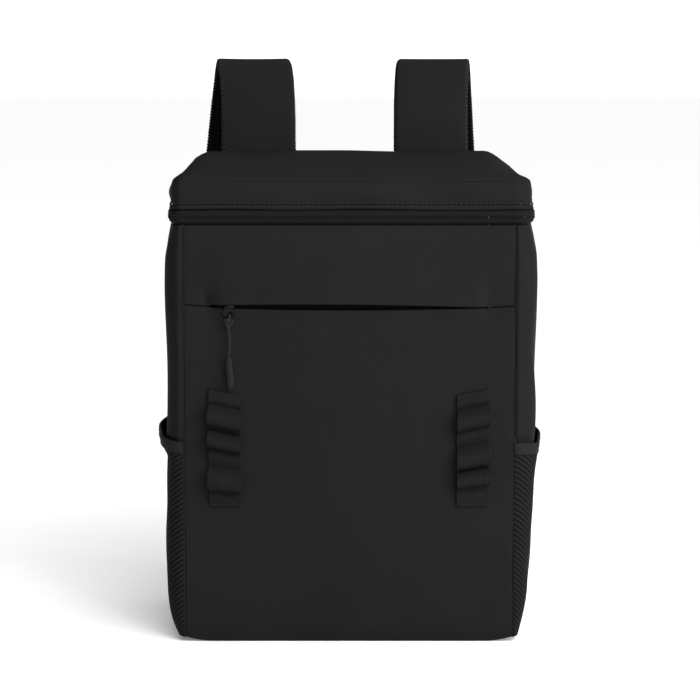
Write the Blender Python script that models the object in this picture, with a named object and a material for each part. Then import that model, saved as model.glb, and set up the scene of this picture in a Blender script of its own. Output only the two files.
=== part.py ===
"""Cooler backpack: padded panels sewn round one open compartment, under a zipped lid.

Lengths are in metres. The front faces -Y, +Z is up, and the origin is at the middle of the base.
Left and right are as seen from the front. Tables hold shares of the named sizes that they follow.
"""

import math

import bmesh
import bpy
import numpy as np
from mathutils import Vector

# Clearance that every pair of neighbouring pieces keeps
GAP = 0.0003

# Body
BODY_WIDTH = 0.298
BODY_DEPTH = 0.185
BODY_HEIGHT = 0.329
WALL = 0.005
BASE_THICKNESS = 0.005
SEAM_INSET = 0.020
SEAM_SHIFT = -0.002
BACK_SEAM_INSET = 0.033
FRONT_CORNER = 0.022
BACK_CORNER = 0.034
SIDE_BULGE = 0.004
FRONT_CROWN = 0.005
EDGE_DRAW = 0.010
PIPING_DIAMETER = 0.0024

# Side pockets
POCKET_HEIGHT = 0.157
POCKET_HOLLOW = 0.0060
MOUTH_FLARE_LEFT = 0.0065
MOUTH_FLARE_RIGHT = 0.0045
FLARE_HEIGHT = 0.050
MESH_THICKNESS = 0.001
BINDING_HEIGHT = 0.010
BINDING_THICKNESS = 0.0024

# Slit pocket in the front
SLIT_HEIGHT = 0.264
SLIT_LENGTH = 0.220
SLIT_WIDTH = 0.0030
SLIT_FADE = 0.010
LIP_RISE = 0.0022
LIP_SINK = 0.0012
END_DENT = 0.0014
TAPE_THICKNESS = 0.001
TAPE_WIDTH = 0.020
COIL_WIDTH = 0.0022
COIL_DEPTH = 0.0012

# Lid and its zip
ZIP_BAND = 0.0143
ZIP_THICKNESS = 0.0016
ZIP_DRAW = 0.0012
LID_COIL_WIDTH = 0.0032
HEM_HEIGHT = 0.0027
HEM_DRAW = 0.0008
LID_BAND = 0.0160
LID_DRAW = 0.0020
LID_DOME = 0.0135
LID_PADDING = 0.008
FOLD_RADIUS = 0.0025
EAR_RISE = 0.0025
EAR_RADIUS = 0.014
LID_SLIDER = (0.0075, 0.0120, 0.0030)

# Front zip's pull
PULL_ACROSS = -0.0950
SLIDER_SIZE = (0.0070, 0.0029, 0.0024)
TAB_WIDTH = 0.0098
TAB_HEIGHT = 0.0100
TAB_THICKNESS = 0.0012
TAB_HOLE = 0.0030
KNOT_WIDTH = 0.0066
KNOT_HEIGHT = 0.0070
PULL_CORD_DIAMETER = 0.0020
PULL_CORD_LENGTH = 0.0238
GRIP_LENGTH = 0.0243
GRIP_WIDTH = 0.0055
GRIP_DEPTH = 0.0042

# Webbing on the front
WEBBING_WIDTH = 0.025
WEBBING_THICKNESS = 0.0018
WEBBING_HEIGHT = 0.091
WEBBING_FOOT = 0.1065
WEBBING_INSET = 0.0325
LOOP_REACH = 0.0078

# Shoulder straps
STRAP_WIDTH = 0.062
PAD_THICKNESS = 0.007
LINING_THICKNESS = 0.0025
LINING_WIDTH = 0.060
STRAP_SPACING = 0.146
STRAP_SHIFT = -0.0055
STRAP_RISE = 0.0860
STRAP_REACH = 0.099
SPLAY_LEFT = 0.040
SPLAY_RIGHT = 0.022
ADJUSTER_WIDTH = 0.036
ADJUSTER_LENGTH = 0.024
ADJUSTER_THICKNESS = 0.005
ANCHOR_WIDTH = 0.034
ANCHOR_HEIGHT = 0.026
ANCHOR_THICKNESS = 0.002
ANCHOR_SPACING = 0.190
ANCHOR_FOOT = 0.012

# How far each edge draws in, as shares of EDGE_DRAW, at shares of BODY_HEIGHT
# height, left, right, front, back
DRAW_ROWS = (
    (0.000, 0.95, 1.35, 0.55, 0.60),
    (0.030, 0.50, 1.12, 0.18, 0.22),
    (0.076, 0.15, 0.92, 0.03, 0.05),
    (0.152, 0.00, 0.70, 0.00, 0.00),
    (0.228, 0.00, 0.50, 0.00, 0.00),
    (0.334, 0.00, 0.25, 0.00, 0.00),
    (0.486, 0.00, 0.05, 0.00, 0.00),
    (0.700, 0.00, 0.00, 0.00, 0.00),
    (0.912, 0.00, 0.00, 0.00, 0.00),
    (0.957, 0.20, 0.20, 0.08, 0.08),
    (1.000, 0.50, 0.50, 0.30, 0.30),
)

# Shape of one webbing loop, from its upper foot down to its lower foot
# along, reach
LOOP_ROWS = (
    (0.00, 0.00),
    (0.06, 0.34),
    (0.18, 0.76),
    (0.34, 0.96),
    (0.52, 1.00),
    (0.70, 0.98),
    (0.84, 0.82),
    (0.94, 0.40),
    (1.00, 0.00),
)

# Where each loop starts and ends, as shares of WEBBING_HEIGHT from the top
LOOPS_LEFT = ((0.10, 0.31), (0.34, 0.49), (0.64, 0.85))
LOOPS_RIGHT = ((0.11, 0.30), (0.43, 0.65), (0.66, 0.81))

# Shoulder strap seen from the side, and how much of its splay it has taken
# reach, height, splay
STRAP_ROWS = (
    (0.000, 0.656, 0.00),
    (0.000, 0.722, 0.00),
    (0.040, 0.778, 0.00),
    (0.100, 0.855, 0.00),
    (0.220, 0.938, 0.02),
    (0.400, 0.986, 0.08),
    (0.600, 1.000, 0.16),
    (0.780, 0.978, 0.24),
    (0.910, 0.920, 0.34),
    (0.985, 0.840, 0.45),
    (1.000, 0.745, 0.58),
    (0.960, 0.640, 0.72),
    (0.870, 0.530, 0.86),
    (0.750, 0.430, 0.95),
    (0.630, 0.345, 1.00),
)

# How the lower webbing comes down onto its tab, as shares of ANCHOR_HEIGHT
# out, up
LANDING_ROWS = ((0.50, 2.20), (0.16, 1.55), (0.03, 1.10), (0.00, 0.60), (0.00, 0.00))

# Rings of the lid's top, from its edge to its middle, as shares of the way out
LID_RINGS = (0.985, 0.950, 0.890, 0.800, 0.680, 0.520, 0.340, 0.160)

# Moulded grip of the pull, from its top down
# along, width
GRIP_ROWS = ((0.00, 0.70), (0.08, 0.76), (0.45, 0.84), (0.84, 1.00), (0.95, 0.80), (1.00, 0.34))

# Levels and places that follow from the sizes
SEAM_WIDTH = BODY_WIDTH - 2 * SEAM_INSET
BACK_SEAM_WIDTH = BODY_WIDTH - 2 * BACK_SEAM_INSET
RIM = BODY_HEIGHT
TAPE_TOP = RIM + ZIP_BAND
HEM_TOP = TAPE_TOP + GAP + HEM_HEIGHT
BAND_TOP = HEM_TOP + GAP + LID_BAND
FOLD = BAND_TOP + GAP + FOLD_RADIUS
FRONT_Y = -BODY_DEPTH / 2
BACK_Y = BODY_DEPTH / 2
SEAM_GAP = PIPING_DIAMETER / 2 + GAP
POCKET_EDGE = BINDING_THICKNESS + 2 * GAP
COIL_LEVEL = RIM + 0.42 * ZIP_BAND
STRAP_TOP = FOLD + STRAP_RISE
KINDS = ("left", "right")
SIGN = {"left": -1, "right": 1}

# Stations across the front as shares of half its width, closer together at the slit's ends
FRONT_STATIONS = (-1, -0.87, -0.80, -0.68, -0.46, -0.23, 0, 0.23, 0.46, 0.68, 0.80, 0.87, 1)
FRONT_COUNT = len(FRONT_STATIONS)

# Steps of the outline round each corner, along a side and across the back
CORNER_STEPS = 5
SIDE_STEPS = 7
BACK_STEPS = 6

COLOURS = {
    "coated_fabric": ((0.022, 0.022, 0.023), 0.5, 0.0),
    "piping": ((0.05, 0.05, 0.052), 0.5, 0.0),
    "pocket_mesh": ((0.026, 0.026, 0.028), 0.85, 0.0),
    "binding": ((0.045, 0.045, 0.047), 0.6, 0.0),
    "zip_tape": ((0.018, 0.018, 0.019), 0.9, 0.0),
    "zip_coil": ((0.012, 0.012, 0.012), 0.4, 0.0),
    "painted_zip": ((0.010, 0.010, 0.010), 0.35, 0.6),
    "webbing": ((0.030, 0.030, 0.032), 0.85, 0.0),
    "air_mesh": ((0.012, 0.012, 0.013), 0.95, 0.0),
    "moulded": ((0.014, 0.014, 0.014), 0.45, 0.0),
}


def clear_scene():
    for item in list(bpy.data.objects):
        bpy.data.objects.remove(item, do_unlink=True)


def material(kind):
    """The Principled material of one kind, made once."""
    found = bpy.data.materials.get(kind)
    if found:
        return found
    colour, roughness, metallic = COLOURS[kind]
    made = bpy.data.materials.new(kind)
    made.use_nodes = True
    shader = made.node_tree.nodes["Principled BSDF"]
    shader.inputs["Base Color"].default_value = (*colour, 1.0)
    shader.inputs["Roughness"].default_value = roughness
    shader.inputs["Metallic"].default_value = metallic
    return made


def place(name, mesh, middle, kind):
    """An object with its origin in the middle of its piece, under the backpack's empty."""
    item = bpy.data.objects.new(name, mesh)
    item.location = middle
    item.parent = bpy.data.objects["cooler_backpack"]
    mesh.materials.append(material(kind))
    bpy.context.scene.collection.objects.link(item)
    return item


def solid(name, points, faces, kind, sharp=40):
    """A closed piece from its corner points and faces."""
    points = np.asarray(points, float)
    middle = (points.min(axis=0) + points.max(axis=0)) / 2
    mesh = bpy.data.meshes.new(name)
    mesh.from_pydata((points - middle).tolist(), [], faces)
    work = bmesh.new()
    work.from_mesh(mesh)
    bmesh.ops.recalc_face_normals(work, faces=work.faces)
    work.to_mesh(mesh)
    work.free()
    mesh.shade_smooth()
    mesh.set_sharp_from_angle(angle=math.radians(sharp))
    return place(name, mesh, middle, kind)


def smoothstep(value):
    value = min(max(value, 0.0), 1.0)
    return value * value * (3 - 2 * value)


def read_rows(rows, at, column):
    """A smooth curve through one column of a table, read at a share of its first column."""
    keys = [row[0] for row in rows]
    values = [row[column] for row in rows]
    at = min(max(at, keys[0]), keys[-1])
    here = min(max(i for i, key in enumerate(keys) if key <= at), len(keys) - 2)
    span = keys[here + 1] - keys[here]

    def slope(i):
        low, high = max(i - 1, 0), min(i + 1, len(keys) - 1)
        return (values[high] - values[low]) / (keys[high] - keys[low])

    part = (at - keys[here]) / span
    square, cube = part * part, part * part * part
    return (
        (2 * cube - 3 * square + 1) * values[here]
        + (cube - 2 * square + part) * span * slope(here)
        + (3 * square - 2 * cube) * values[here + 1]
        + (cube - square) * span * slope(here + 1)
    )


def smooth_path(points, steps):
    """Points on a smooth curve through hand-chosen ones, with this many steps between each two."""
    points = [Vector(p) for p in points]
    ends = [2 * points[0] - points[1], *points, 2 * points[-1] - points[-2]]
    made = []
    for before, start, end, after in zip(ends, ends[1:], ends[2:], ends[3:]):
        for step in range(steps):
            t = step / steps
            made.append(
                0.5
                * (
                    2 * start
                    + (end - before) * t
                    + (2 * before - 5 * start + 4 * end - after) * t**2
                    + (3 * start - before - 3 * end + after) * t**3
                )
            )
    return [*made, points[-1]]


def body_draw(height):
    """How far the left, right, front and back edges draw in at a height of the body."""
    share = height / BODY_HEIGHT
    return [EDGE_DRAW * read_rows(DRAW_ROWS, share, column) for column in (1, 2, 3, 4)]


def side_outline(kind, draw_side, draw_front, draw_back):
    """Plan points of one side, from its front seam round both corners to its back seam."""
    sign = SIGN[kind]
    seam = SEAM_WIDTH / 2 + sign * SEAM_SHIFT + SEAM_GAP
    back_seam = BACK_SEAM_WIDTH / 2 + GAP
    half = BODY_WIDTH / 2 - draw_side - SIDE_BULGE
    front, back = FRONT_Y + draw_front, BACK_Y - draw_back
    turns = [i / CORNER_STEPS * math.pi / 2 for i in range(CORNER_STEPS + 1)]
    line = [
        (seam + (half - seam) * math.sin(a), front + FRONT_CORNER * (1 - math.cos(a)))
        for a in turns
    ]
    start, end = front + FRONT_CORNER, back - BACK_CORNER
    for step in range(1, SIDE_STEPS):
        share = step / SIDE_STEPS
        bulge = SIDE_BULGE * math.sin(math.pi * share) ** 2
        line.append((half + bulge, start + (end - start) * share))
    line += [
        (
            back_seam + (half - back_seam) * math.cos(a),
            back - BACK_CORNER * (1 - math.sin(a)),
        )
        for a in turns
    ]
    return [(sign * x, y) for x, y in line]


def front_places():
    """Places across the front, from the left seam to the right one."""
    half = SEAM_WIDTH / 2 - SEAM_GAP
    return [SEAM_SHIFT + half * share for share in FRONT_STATIONS]


def ring(draws):
    """The outline at one level as plan points with inward normals, in four named stretches."""
    draw_left, draw_right, draw_front, draw_back = draws
    left = side_outline("left", draw_left, draw_front, draw_back)
    right = side_outline("right", draw_right, draw_front, draw_back)
    front = [(x, FRONT_Y + draw_front) for x in front_places()]
    reach = BACK_SEAM_WIDTH / 2 - GAP
    back = [
        (reach - 2 * reach * i / BACK_STEPS, BACK_Y - draw_back) for i in range(BACK_STEPS + 1)
    ]
    points = np.array([*front, *right, *back, *left[::-1]])
    along = np.roll(points, -1, axis=0) - np.roll(points, 1, axis=0)
    along /= np.linalg.norm(along, axis=1)[:, None]
    inward = np.stack([-along[:, 1], along[:, 0]], axis=1)
    # Both sides of a seam face straight in, so that their ends stay parallel
    inward[[*FRONT_PART, RIGHT_PART[0], LEFT_PART[0]]] = (0, 1)
    inward[[*BACK_PART, RIGHT_PART[-1], LEFT_PART[-1]]] = (0, -1)
    return points, inward


FRONT_PART = list(range(FRONT_COUNT))
SIDE_COUNT = 2 * CORNER_STEPS + 2 + SIDE_STEPS - 1
RIGHT_PART = [FRONT_PART[-1] + 1 + i for i in range(SIDE_COUNT)]
BACK_PART = [RIGHT_PART[-1] + 1 + i for i in range(BACK_STEPS + 1)]
LEFT_PART = [BACK_PART[-1] + SIDE_COUNT - i for i in range(SIDE_COUNT)]
WHOLE_RING = [*FRONT_PART, *RIGHT_PART, *BACK_PART, *LEFT_PART[::-1]]
ZIP_STATIONS = CORNER_STEPS + SIDE_STEPS + 1
ZIP_PART = [*LEFT_PART[:ZIP_STATIONS][::-1], *FRONT_PART, *RIGHT_PART[:ZIP_STATIONS]]
HINGE_PART = [*RIGHT_PART[ZIP_STATIONS:], *BACK_PART, *LEFT_PART[ZIP_STATIONS:][::-1]]


def grid_wall(name, outer, inner, kind, closed=False):
    """A wall between an outer and an inner grid of points, given row by row from the bottom."""
    outer, inner = np.asarray(outer), np.asarray(inner)
    rows, columns = outer.shape[:2]
    size = rows * columns
    points = np.concatenate([outer.reshape(-1, 3), inner.reshape(-1, 3)])
    faces = []
    for i in range(columns if closed else columns - 1):
        j = (i + 1) % columns
        for row in range(rows - 1):
            low, high = row * columns, (row + 1) * columns
            faces.append((low + i, low + j, high + j, high + i))
            faces.append((size + low + j, size + low + i, size + high + i, size + high + j))
        top = (rows - 1) * columns
        faces.append((i, size + i, size + j, j))
        faces.append((top + i, top + j, size + top + j, size + top + i))
    if not closed:
        last = columns - 1
        for row in range(rows - 1):
            low, high = row * columns, (row + 1) * columns
            faces.append((low, high, size + high, size + low))
            faces.append((low + last, size + low + last, size + high + last, high + last))
    return solid(name, points, faces, kind)


def offset_row(level, draws, part, depths):
    """Points of one level, each moved inwards from the outline by its own depth."""
    points, inward = ring(draws)
    moved = points[part] + inward[part] * np.asarray(depths, float).reshape(-1, 1)
    return np.column_stack([moved, np.full(len(part), level)])


def ring_wall(name, rows, part, thickness, kind, closed=False, proud=0.0):
    """A wall that follows the outline, from rows of a level and how far all edges draw in."""
    count = len(part)
    outer = [offset_row(z, [draw] * 4, part, [-proud] * count) for z, draw in rows]
    inner = [offset_row(z, [draw] * 4, part, [thickness - proud] * count) for z, draw in rows]
    return grid_wall(name, outer, inner, kind, closed)


def slit_share(across):
    """1 along the slit, falling smoothly to 0 at its ends."""
    return smoothstep((SLIT_LENGTH / 2 - abs(across - SEAM_SHIFT)) / SLIT_FADE)


def front_crown(across, height):
    """Y of the front's plain crowned form, between the seams."""
    share = min(abs(across - SEAM_SHIFT) / (SEAM_WIDTH / 2), 1.0)
    rise = math.sin(math.pi * min(max(height / BODY_HEIGHT, 0.0), 1.0))
    return FRONT_Y + body_draw(height)[2] - FRONT_CROWN * (1 - share**2) ** 2 * rise


def front_surface(across, height):
    """Y of the front panels' outer face: the crowned form, shaped at the slit."""
    above = height - SLIT_HEIGHT
    if above > 0:
        lip = LIP_RISE * math.exp(-((above / (3 * LIP_RISE)) ** 2)) * slit_share(across)
    else:
        lip = -LIP_SINK * math.exp(-((above / (4 * LIP_SINK)) ** 2)) * slit_share(across)
    to_end = abs(across - SEAM_SHIFT) - SLIT_LENGTH / 2
    dent = END_DENT * math.exp(-(to_end**2 + above**2) / (8 * END_DENT) ** 2)
    return front_crown(across, height) - lip + dent


def front_panel(name, start, end, shares):
    """One front panel, between two edges that are given as heights for each place across."""
    outer, inner = [], []
    for share in shares:
        places = [(x, start(x) + (end(x) - start(x)) * share) for x in front_places()]
        outer.append([(x, front_surface(x, z), z) for x, z in places])
        inner.append([(x, front_crown(x, z) + WALL, z) for x, z in places])
    return grid_wall(name, outer, inner, "coated_fabric")


def build_front():
    def slit_edge(side):
        return lambda x: SLIT_HEIGHT + side * (GAP + (SLIT_WIDTH / 2 - GAP) * slit_share(x))

    def bottom(_across):
        return BASE_THICKNESS + GAP

    def top(_across):
        return RIM

    lower = (0, 0.02, 0.05, 0.10, 0.22, 0.38, 0.54, 0.70, 0.84, 0.92, 0.965, 0.985, 1)
    front_panel("front_panel_lower", bottom, slit_edge(-1), lower)
    front_panel("front_panel_upper", slit_edge(1), top, (0, 0.06, 0.14, 0.26, 0.46, 0.72, 0.88, 1))


def press(kind, station, height):
    """How far a side panel is pressed in behind its pocket."""
    share = station / (SIDE_COUNT - 1)
    below_mouth = smoothstep((POCKET_HEIGHT + BINDING_HEIGHT - height) / BINDING_HEIGHT)
    above_base = smoothstep(height / (4 * BASE_THICKNESS))
    bow = math.sin(math.pi * share) ** 0.7
    return below_mouth * (POCKET_EDGE + POCKET_HOLLOW * bow * above_base)


def flare(kind, station, height):
    """How far the pocket's mouth stands out from the body's outline."""
    reach = MOUTH_FLARE_LEFT if kind == "left" else MOUTH_FLARE_RIGHT
    share = station / (SIDE_COUNT - 1)
    rise = smoothstep((height - POCKET_HEIGHT + FLARE_HEIGHT) / FLARE_HEIGHT)
    return reach * math.sin(math.pi * share) ** 1.2 * rise


def clear_of_seams(row):
    """The row of a side, with no point nearer the middle than the seam at its own end."""
    half = SIDE_COUNT // 2
    sign = np.sign(row[0, 0])
    across = sign * row[:, 0]
    across[:half] = np.maximum(across[:half], across[0])
    across[half:] = np.maximum(across[half:], across[-1])
    row[:, 0] = sign * across
    return row


def side_wall(name, kind, heights, depth, thickness, finish):
    """A wall along one side, whose outer face lies at a given depth behind the outline."""
    part = RIGHT_PART if kind == "right" else LEFT_PART
    stations = range(SIDE_COUNT)
    outer, inner = [], []
    for height in heights:
        depths = [depth(kind, station, height) for station in stations]
        draws = body_draw(height)
        outer.append(clear_of_seams(offset_row(height, draws, part, depths)))
        deeper = [d + thickness for d in depths]
        inner.append(clear_of_seams(offset_row(height, draws, part, deeper)))
    return grid_wall(name, outer, inner, finish)


def build_sides():
    foot = BASE_THICKNESS + GAP
    shares = (0, 0.02, 0.05, 0.10, 0.20, 0.32, 0.40, 0.45, 0.49, 0.55, 0.70, 0.88, 0.94, 0.97, 1)
    panel_heights = [foot + (RIM - foot) * share for share in shares]
    mesh_top = POCKET_HEIGHT - BINDING_HEIGHT - GAP
    mesh_heights = [
        foot + (mesh_top - foot) * share for share in (0, 0.05, 0.15, 0.35, 0.58, 0.75, 0.88, 1)
    ]
    binding_heights = [mesh_top + GAP + BINDING_HEIGHT * share for share in (0, 0.5, 1)]
    proud = (BINDING_THICKNESS - MESH_THICKNESS) / 2
    for kind in KINDS:
        side_wall(f"side_panel_{kind}", kind, panel_heights, press, WALL, "coated_fabric")
        side_wall(
            f"side_pocket_{kind}",
            kind,
            mesh_heights,
            lambda k, s, h: -flare(k, s, h),
            MESH_THICKNESS,
            "pocket_mesh",
        )
        side_wall(
            f"pocket_binding_{kind}",
            kind,
            binding_heights,
            lambda k, s, h: -flare(k, s, h) - proud,
            BINDING_THICKNESS,
            "binding",
        )


def build_back_and_base():
    foot = BASE_THICKNESS + GAP
    heights = [foot + (RIM - foot) * s for s in (0, 0.02, 0.05, 0.15, 0.4, 0.7, 0.9, 0.95, 1)]
    count = len(BACK_PART)
    outer = [offset_row(z, body_draw(z), BACK_PART, [0] * count) for z in heights]
    inner = [offset_row(z, body_draw(z), BACK_PART, [WALL] * count) for z in heights]
    grid_wall("back_panel", outer, inner, "coated_fabric")

    count = len(WHOLE_RING)
    levels = [0, BASE_THICKNESS / 2, BASE_THICKNESS]
    rows = [offset_row(z, body_draw(z), WHOLE_RING, [0] * count) for z in levels]
    faces = [tuple(range(count))[::-1], tuple(range(2 * count, 3 * count))]
    for low in (0, count):
        for i in range(count):
            j = (i + 1) % count
            faces.append((low + i, low + j, low + count + j, low + count + i))
    solid("base_panel", np.concatenate(rows), faces, "coated_fabric")


def tube(name, points, diameter, kind, resolution=2):
    """A round cord or welt along a path, with filled ends."""
    points = np.asarray([tuple(p) for p in points])
    middle = (points.min(axis=0) + points.max(axis=0)) / 2
    curve = bpy.data.curves.new(name, "CURVE")
    curve.dimensions = "3D"
    curve.bevel_depth = diameter / 2
    curve.bevel_resolution = resolution
    curve.use_fill_caps = True
    line = curve.splines.new("POLY")
    line.points.add(len(points) - 1)
    for target, source in zip(line.points, points - middle):
        target.co = (*source, 1.0)
    return place(name, curve, middle, kind)


def build_piping():
    shares = (0, 0.015, 0.04, 0.08, 0.2, 0.4, 0.6, 0.8, 0.92, 0.96, 1)
    foot = BASE_THICKNESS + GAP
    for kind in KINDS:
        seam = SIGN[kind] * SEAM_WIDTH / 2 + SEAM_SHIFT
        heights = [foot + (RIM - foot) * share for share in shares]
        # The welt's middle lies in the slot between two panels, with its round standing proud
        path = [(seam, FRONT_Y + body_draw(z)[2] + PIPING_DIAMETER / 8, z) for z in heights]
        tube(f"piping_{kind}", path, PIPING_DIAMETER, "piping", resolution=1)


def build_zip():
    middle = COIL_LEVEL
    rim_draw = body_draw(RIM)[0]
    low_rows = [(RIM + GAP, rim_draw), (RIM + ZIP_BAND / 4, ZIP_DRAW), (middle - GAP / 2, ZIP_DRAW)]
    high_rows = [(middle + GAP / 2, ZIP_DRAW), (TAPE_TOP, ZIP_DRAW)]
    ring_wall("zip_tape_lower", low_rows, ZIP_PART, ZIP_THICKNESS, "zip_tape")
    ring_wall("zip_tape_upper", high_rows, ZIP_PART, ZIP_THICKNESS, "zip_tape")
    coil_rows = [(middle - LID_COIL_WIDTH / 2, ZIP_DRAW), (middle + LID_COIL_WIDTH / 2, ZIP_DRAW)]
    proud = COIL_DEPTH + GAP
    ring_wall("zip_coil", coil_rows, ZIP_PART, COIL_DEPTH, "zip_coil", proud=proud)
    hinge_rows = [(RIM + GAP, rim_draw), (RIM + ZIP_BAND / 4, ZIP_DRAW), (TAPE_TOP, ZIP_DRAW)]
    ring_wall("lid_hinge", hinge_rows, HINGE_PART, ZIP_THICKNESS, "coated_fabric")

    points, inward = ring([ZIP_DRAW] * 4)
    end, beyond = points[ZIP_PART[-1]], points[HINGE_PART[0]]
    along = (beyond - end) / np.linalg.norm(beyond - end)
    out = -inward[HINGE_PART[0]]
    height, length, thickness = LID_SLIDER
    centre = end + along * (length / 2 + GAP) + out * (thickness / 2 + 2 * GAP)
    corners = []
    for level in (middle - height / 2, middle + height / 2):
        for a, b in ((-1, -1), (1, -1), (1, 1), (-1, 1)):
            x, y = centre + along * a * length / 2 + out * b * thickness / 2
            corners.append((x, y, level))
    faces = [(0, 1, 2, 3), (4, 5, 6, 7), (0, 1, 5, 4), (1, 2, 6, 5), (2, 3, 7, 6), (3, 0, 4, 7)]
    solid("zip_slider", corners, faces, "painted_zip", sharp=30)


def lid_height(x, y):
    """Height of the lid's top: crowned towards the back, with a small ear at each front corner."""
    half = BODY_WIDTH / 2 - LID_DRAW
    from_left = smoothstep((half + x) / (0.17 * BODY_WIDTH))
    from_right = smoothstep((half - x) / (0.28 * BODY_WIDTH))
    from_front = smoothstep((y - FRONT_Y) / (1.05 * BODY_DEPTH)) * 0.85
    from_front += 0.3 * smoothstep((y - FRONT_Y) / (0.2 * BODY_DEPTH))
    from_back = smoothstep((BACK_Y - y) / (0.12 * BODY_DEPTH))
    dome = LID_DOME * from_left * from_right * from_front * from_back
    ears = 0
    for kind in KINDS:
        corner_x = SIGN[kind] * (BODY_WIDTH / 2 - EAR_RADIUS / 2)
        away = math.hypot(x - corner_x, y - FRONT_Y - EAR_RADIUS / 2)
        ears += EAR_RISE * math.exp(-((away / EAR_RADIUS) ** 2))
    return FOLD + dome + ears


def build_lid():
    hem_rows = [(TAPE_TOP + GAP, HEM_DRAW), (HEM_TOP, HEM_DRAW)]
    ring_wall("lid_hem", hem_rows, WHOLE_RING, WALL, "coated_fabric", closed=True)
    band_rows = [
        (HEM_TOP + GAP, LID_DRAW * 1.2),
        (HEM_TOP + GAP + LID_BAND / 2, LID_DRAW * 0.8),
        (BAND_TOP, LID_DRAW * 1.1),
    ]
    ring_wall("lid_band", band_rows, WHOLE_RING, WALL, "coated_fabric", closed=True)

    edge, _ = ring([LID_DRAW] * 4)
    edge = edge[WHOLE_RING]
    count = len(edge)
    foot = BAND_TOP + GAP
    first = np.array([(x, y, foot) for x, y in edge * LID_RINGS[0]])
    second = np.array([(x, y, (foot + lid_height(x, y)) / 2) for x, y in edge])
    upper = [first, second]
    lower = []
    for share in LID_RINGS:
        upper.append(np.array([(x, y, lid_height(x, y)) for x, y in edge * share]))
    for share in LID_RINGS[1:]:
        level = [(x, y, max(foot, lid_height(x, y) - LID_PADDING)) for x, y in edge * share]
        lower.append(np.array(level))
    rows = [*lower[::-1], *upper]
    points = [(0, 0, max(foot, lid_height(0, 0) - LID_PADDING))]
    for row in rows:
        points += row.tolist()
    points.append((0, 0, lid_height(0, 0)))
    last = len(points) - 1
    faces = []
    for i in range(count):
        j = (i + 1) % count
        faces.append((0, 1 + j, 1 + i))
        for row in range(len(rows) - 1):
            low, high = 1 + row * count, 1 + (row + 1) * count
            faces.append((low + i, low + j, high + j, high + i))
        top = 1 + (len(rows) - 1) * count
        faces.append((top + i, top + j, last))
    solid("lid_top", points, faces, "coated_fabric")


def block(name, middle, size, kind, bevel=0.0):
    """A plain block, with its edges rounded where a radius is given."""
    half = Vector(size) / 2
    corners = [
        (middle[0] + a * half.x, middle[1] + b * half.y, middle[2] + c * half.z)
        for c in (-1, 1)
        for a, b in ((-1, -1), (1, -1), (1, 1), (-1, 1))
    ]
    faces = [(0, 1, 2, 3), (4, 5, 6, 7), (0, 1, 5, 4), (1, 2, 6, 5), (2, 3, 7, 6), (3, 0, 4, 7)]
    made = solid(name, corners, faces, kind, sharp=30)
    if bevel:
        edge = made.modifiers.new("Bevel", "BEVEL")
        edge.width = bevel
        edge.segments = 2
    return made


def build_front_zip():
    places = front_places()[1:-1]
    tape_outer, tape_inner, coil_outer, coil_inner = [], [], [], []
    for side in (-1, 1):
        edge = SLIT_HEIGHT + side * TAPE_WIDTH / 2
        tape_row = [(x, front_crown(x, edge) + WALL + GAP, edge) for x in places]
        tape_outer.append(tape_row)
        tape_inner.append([(x, y + TAPE_THICKNESS, z) for x, y, z in tape_row])
        coil_row = []
        for x in places[1:-1]:
            level = SLIT_HEIGHT + side * COIL_WIDTH / 2
            coil_row.append((x, front_crown(x, SLIT_HEIGHT) + WALL - COIL_DEPTH, level))
        coil_outer.append(coil_row)
        coil_inner.append([(x, y + COIL_DEPTH - GAP, z) for x, y, z in coil_row])
    grid_wall("front_zip_tape", tape_outer, tape_inner, "zip_tape")
    grid_wall("front_zip_coil", coil_outer, coil_inner, "zip_coil")


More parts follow.
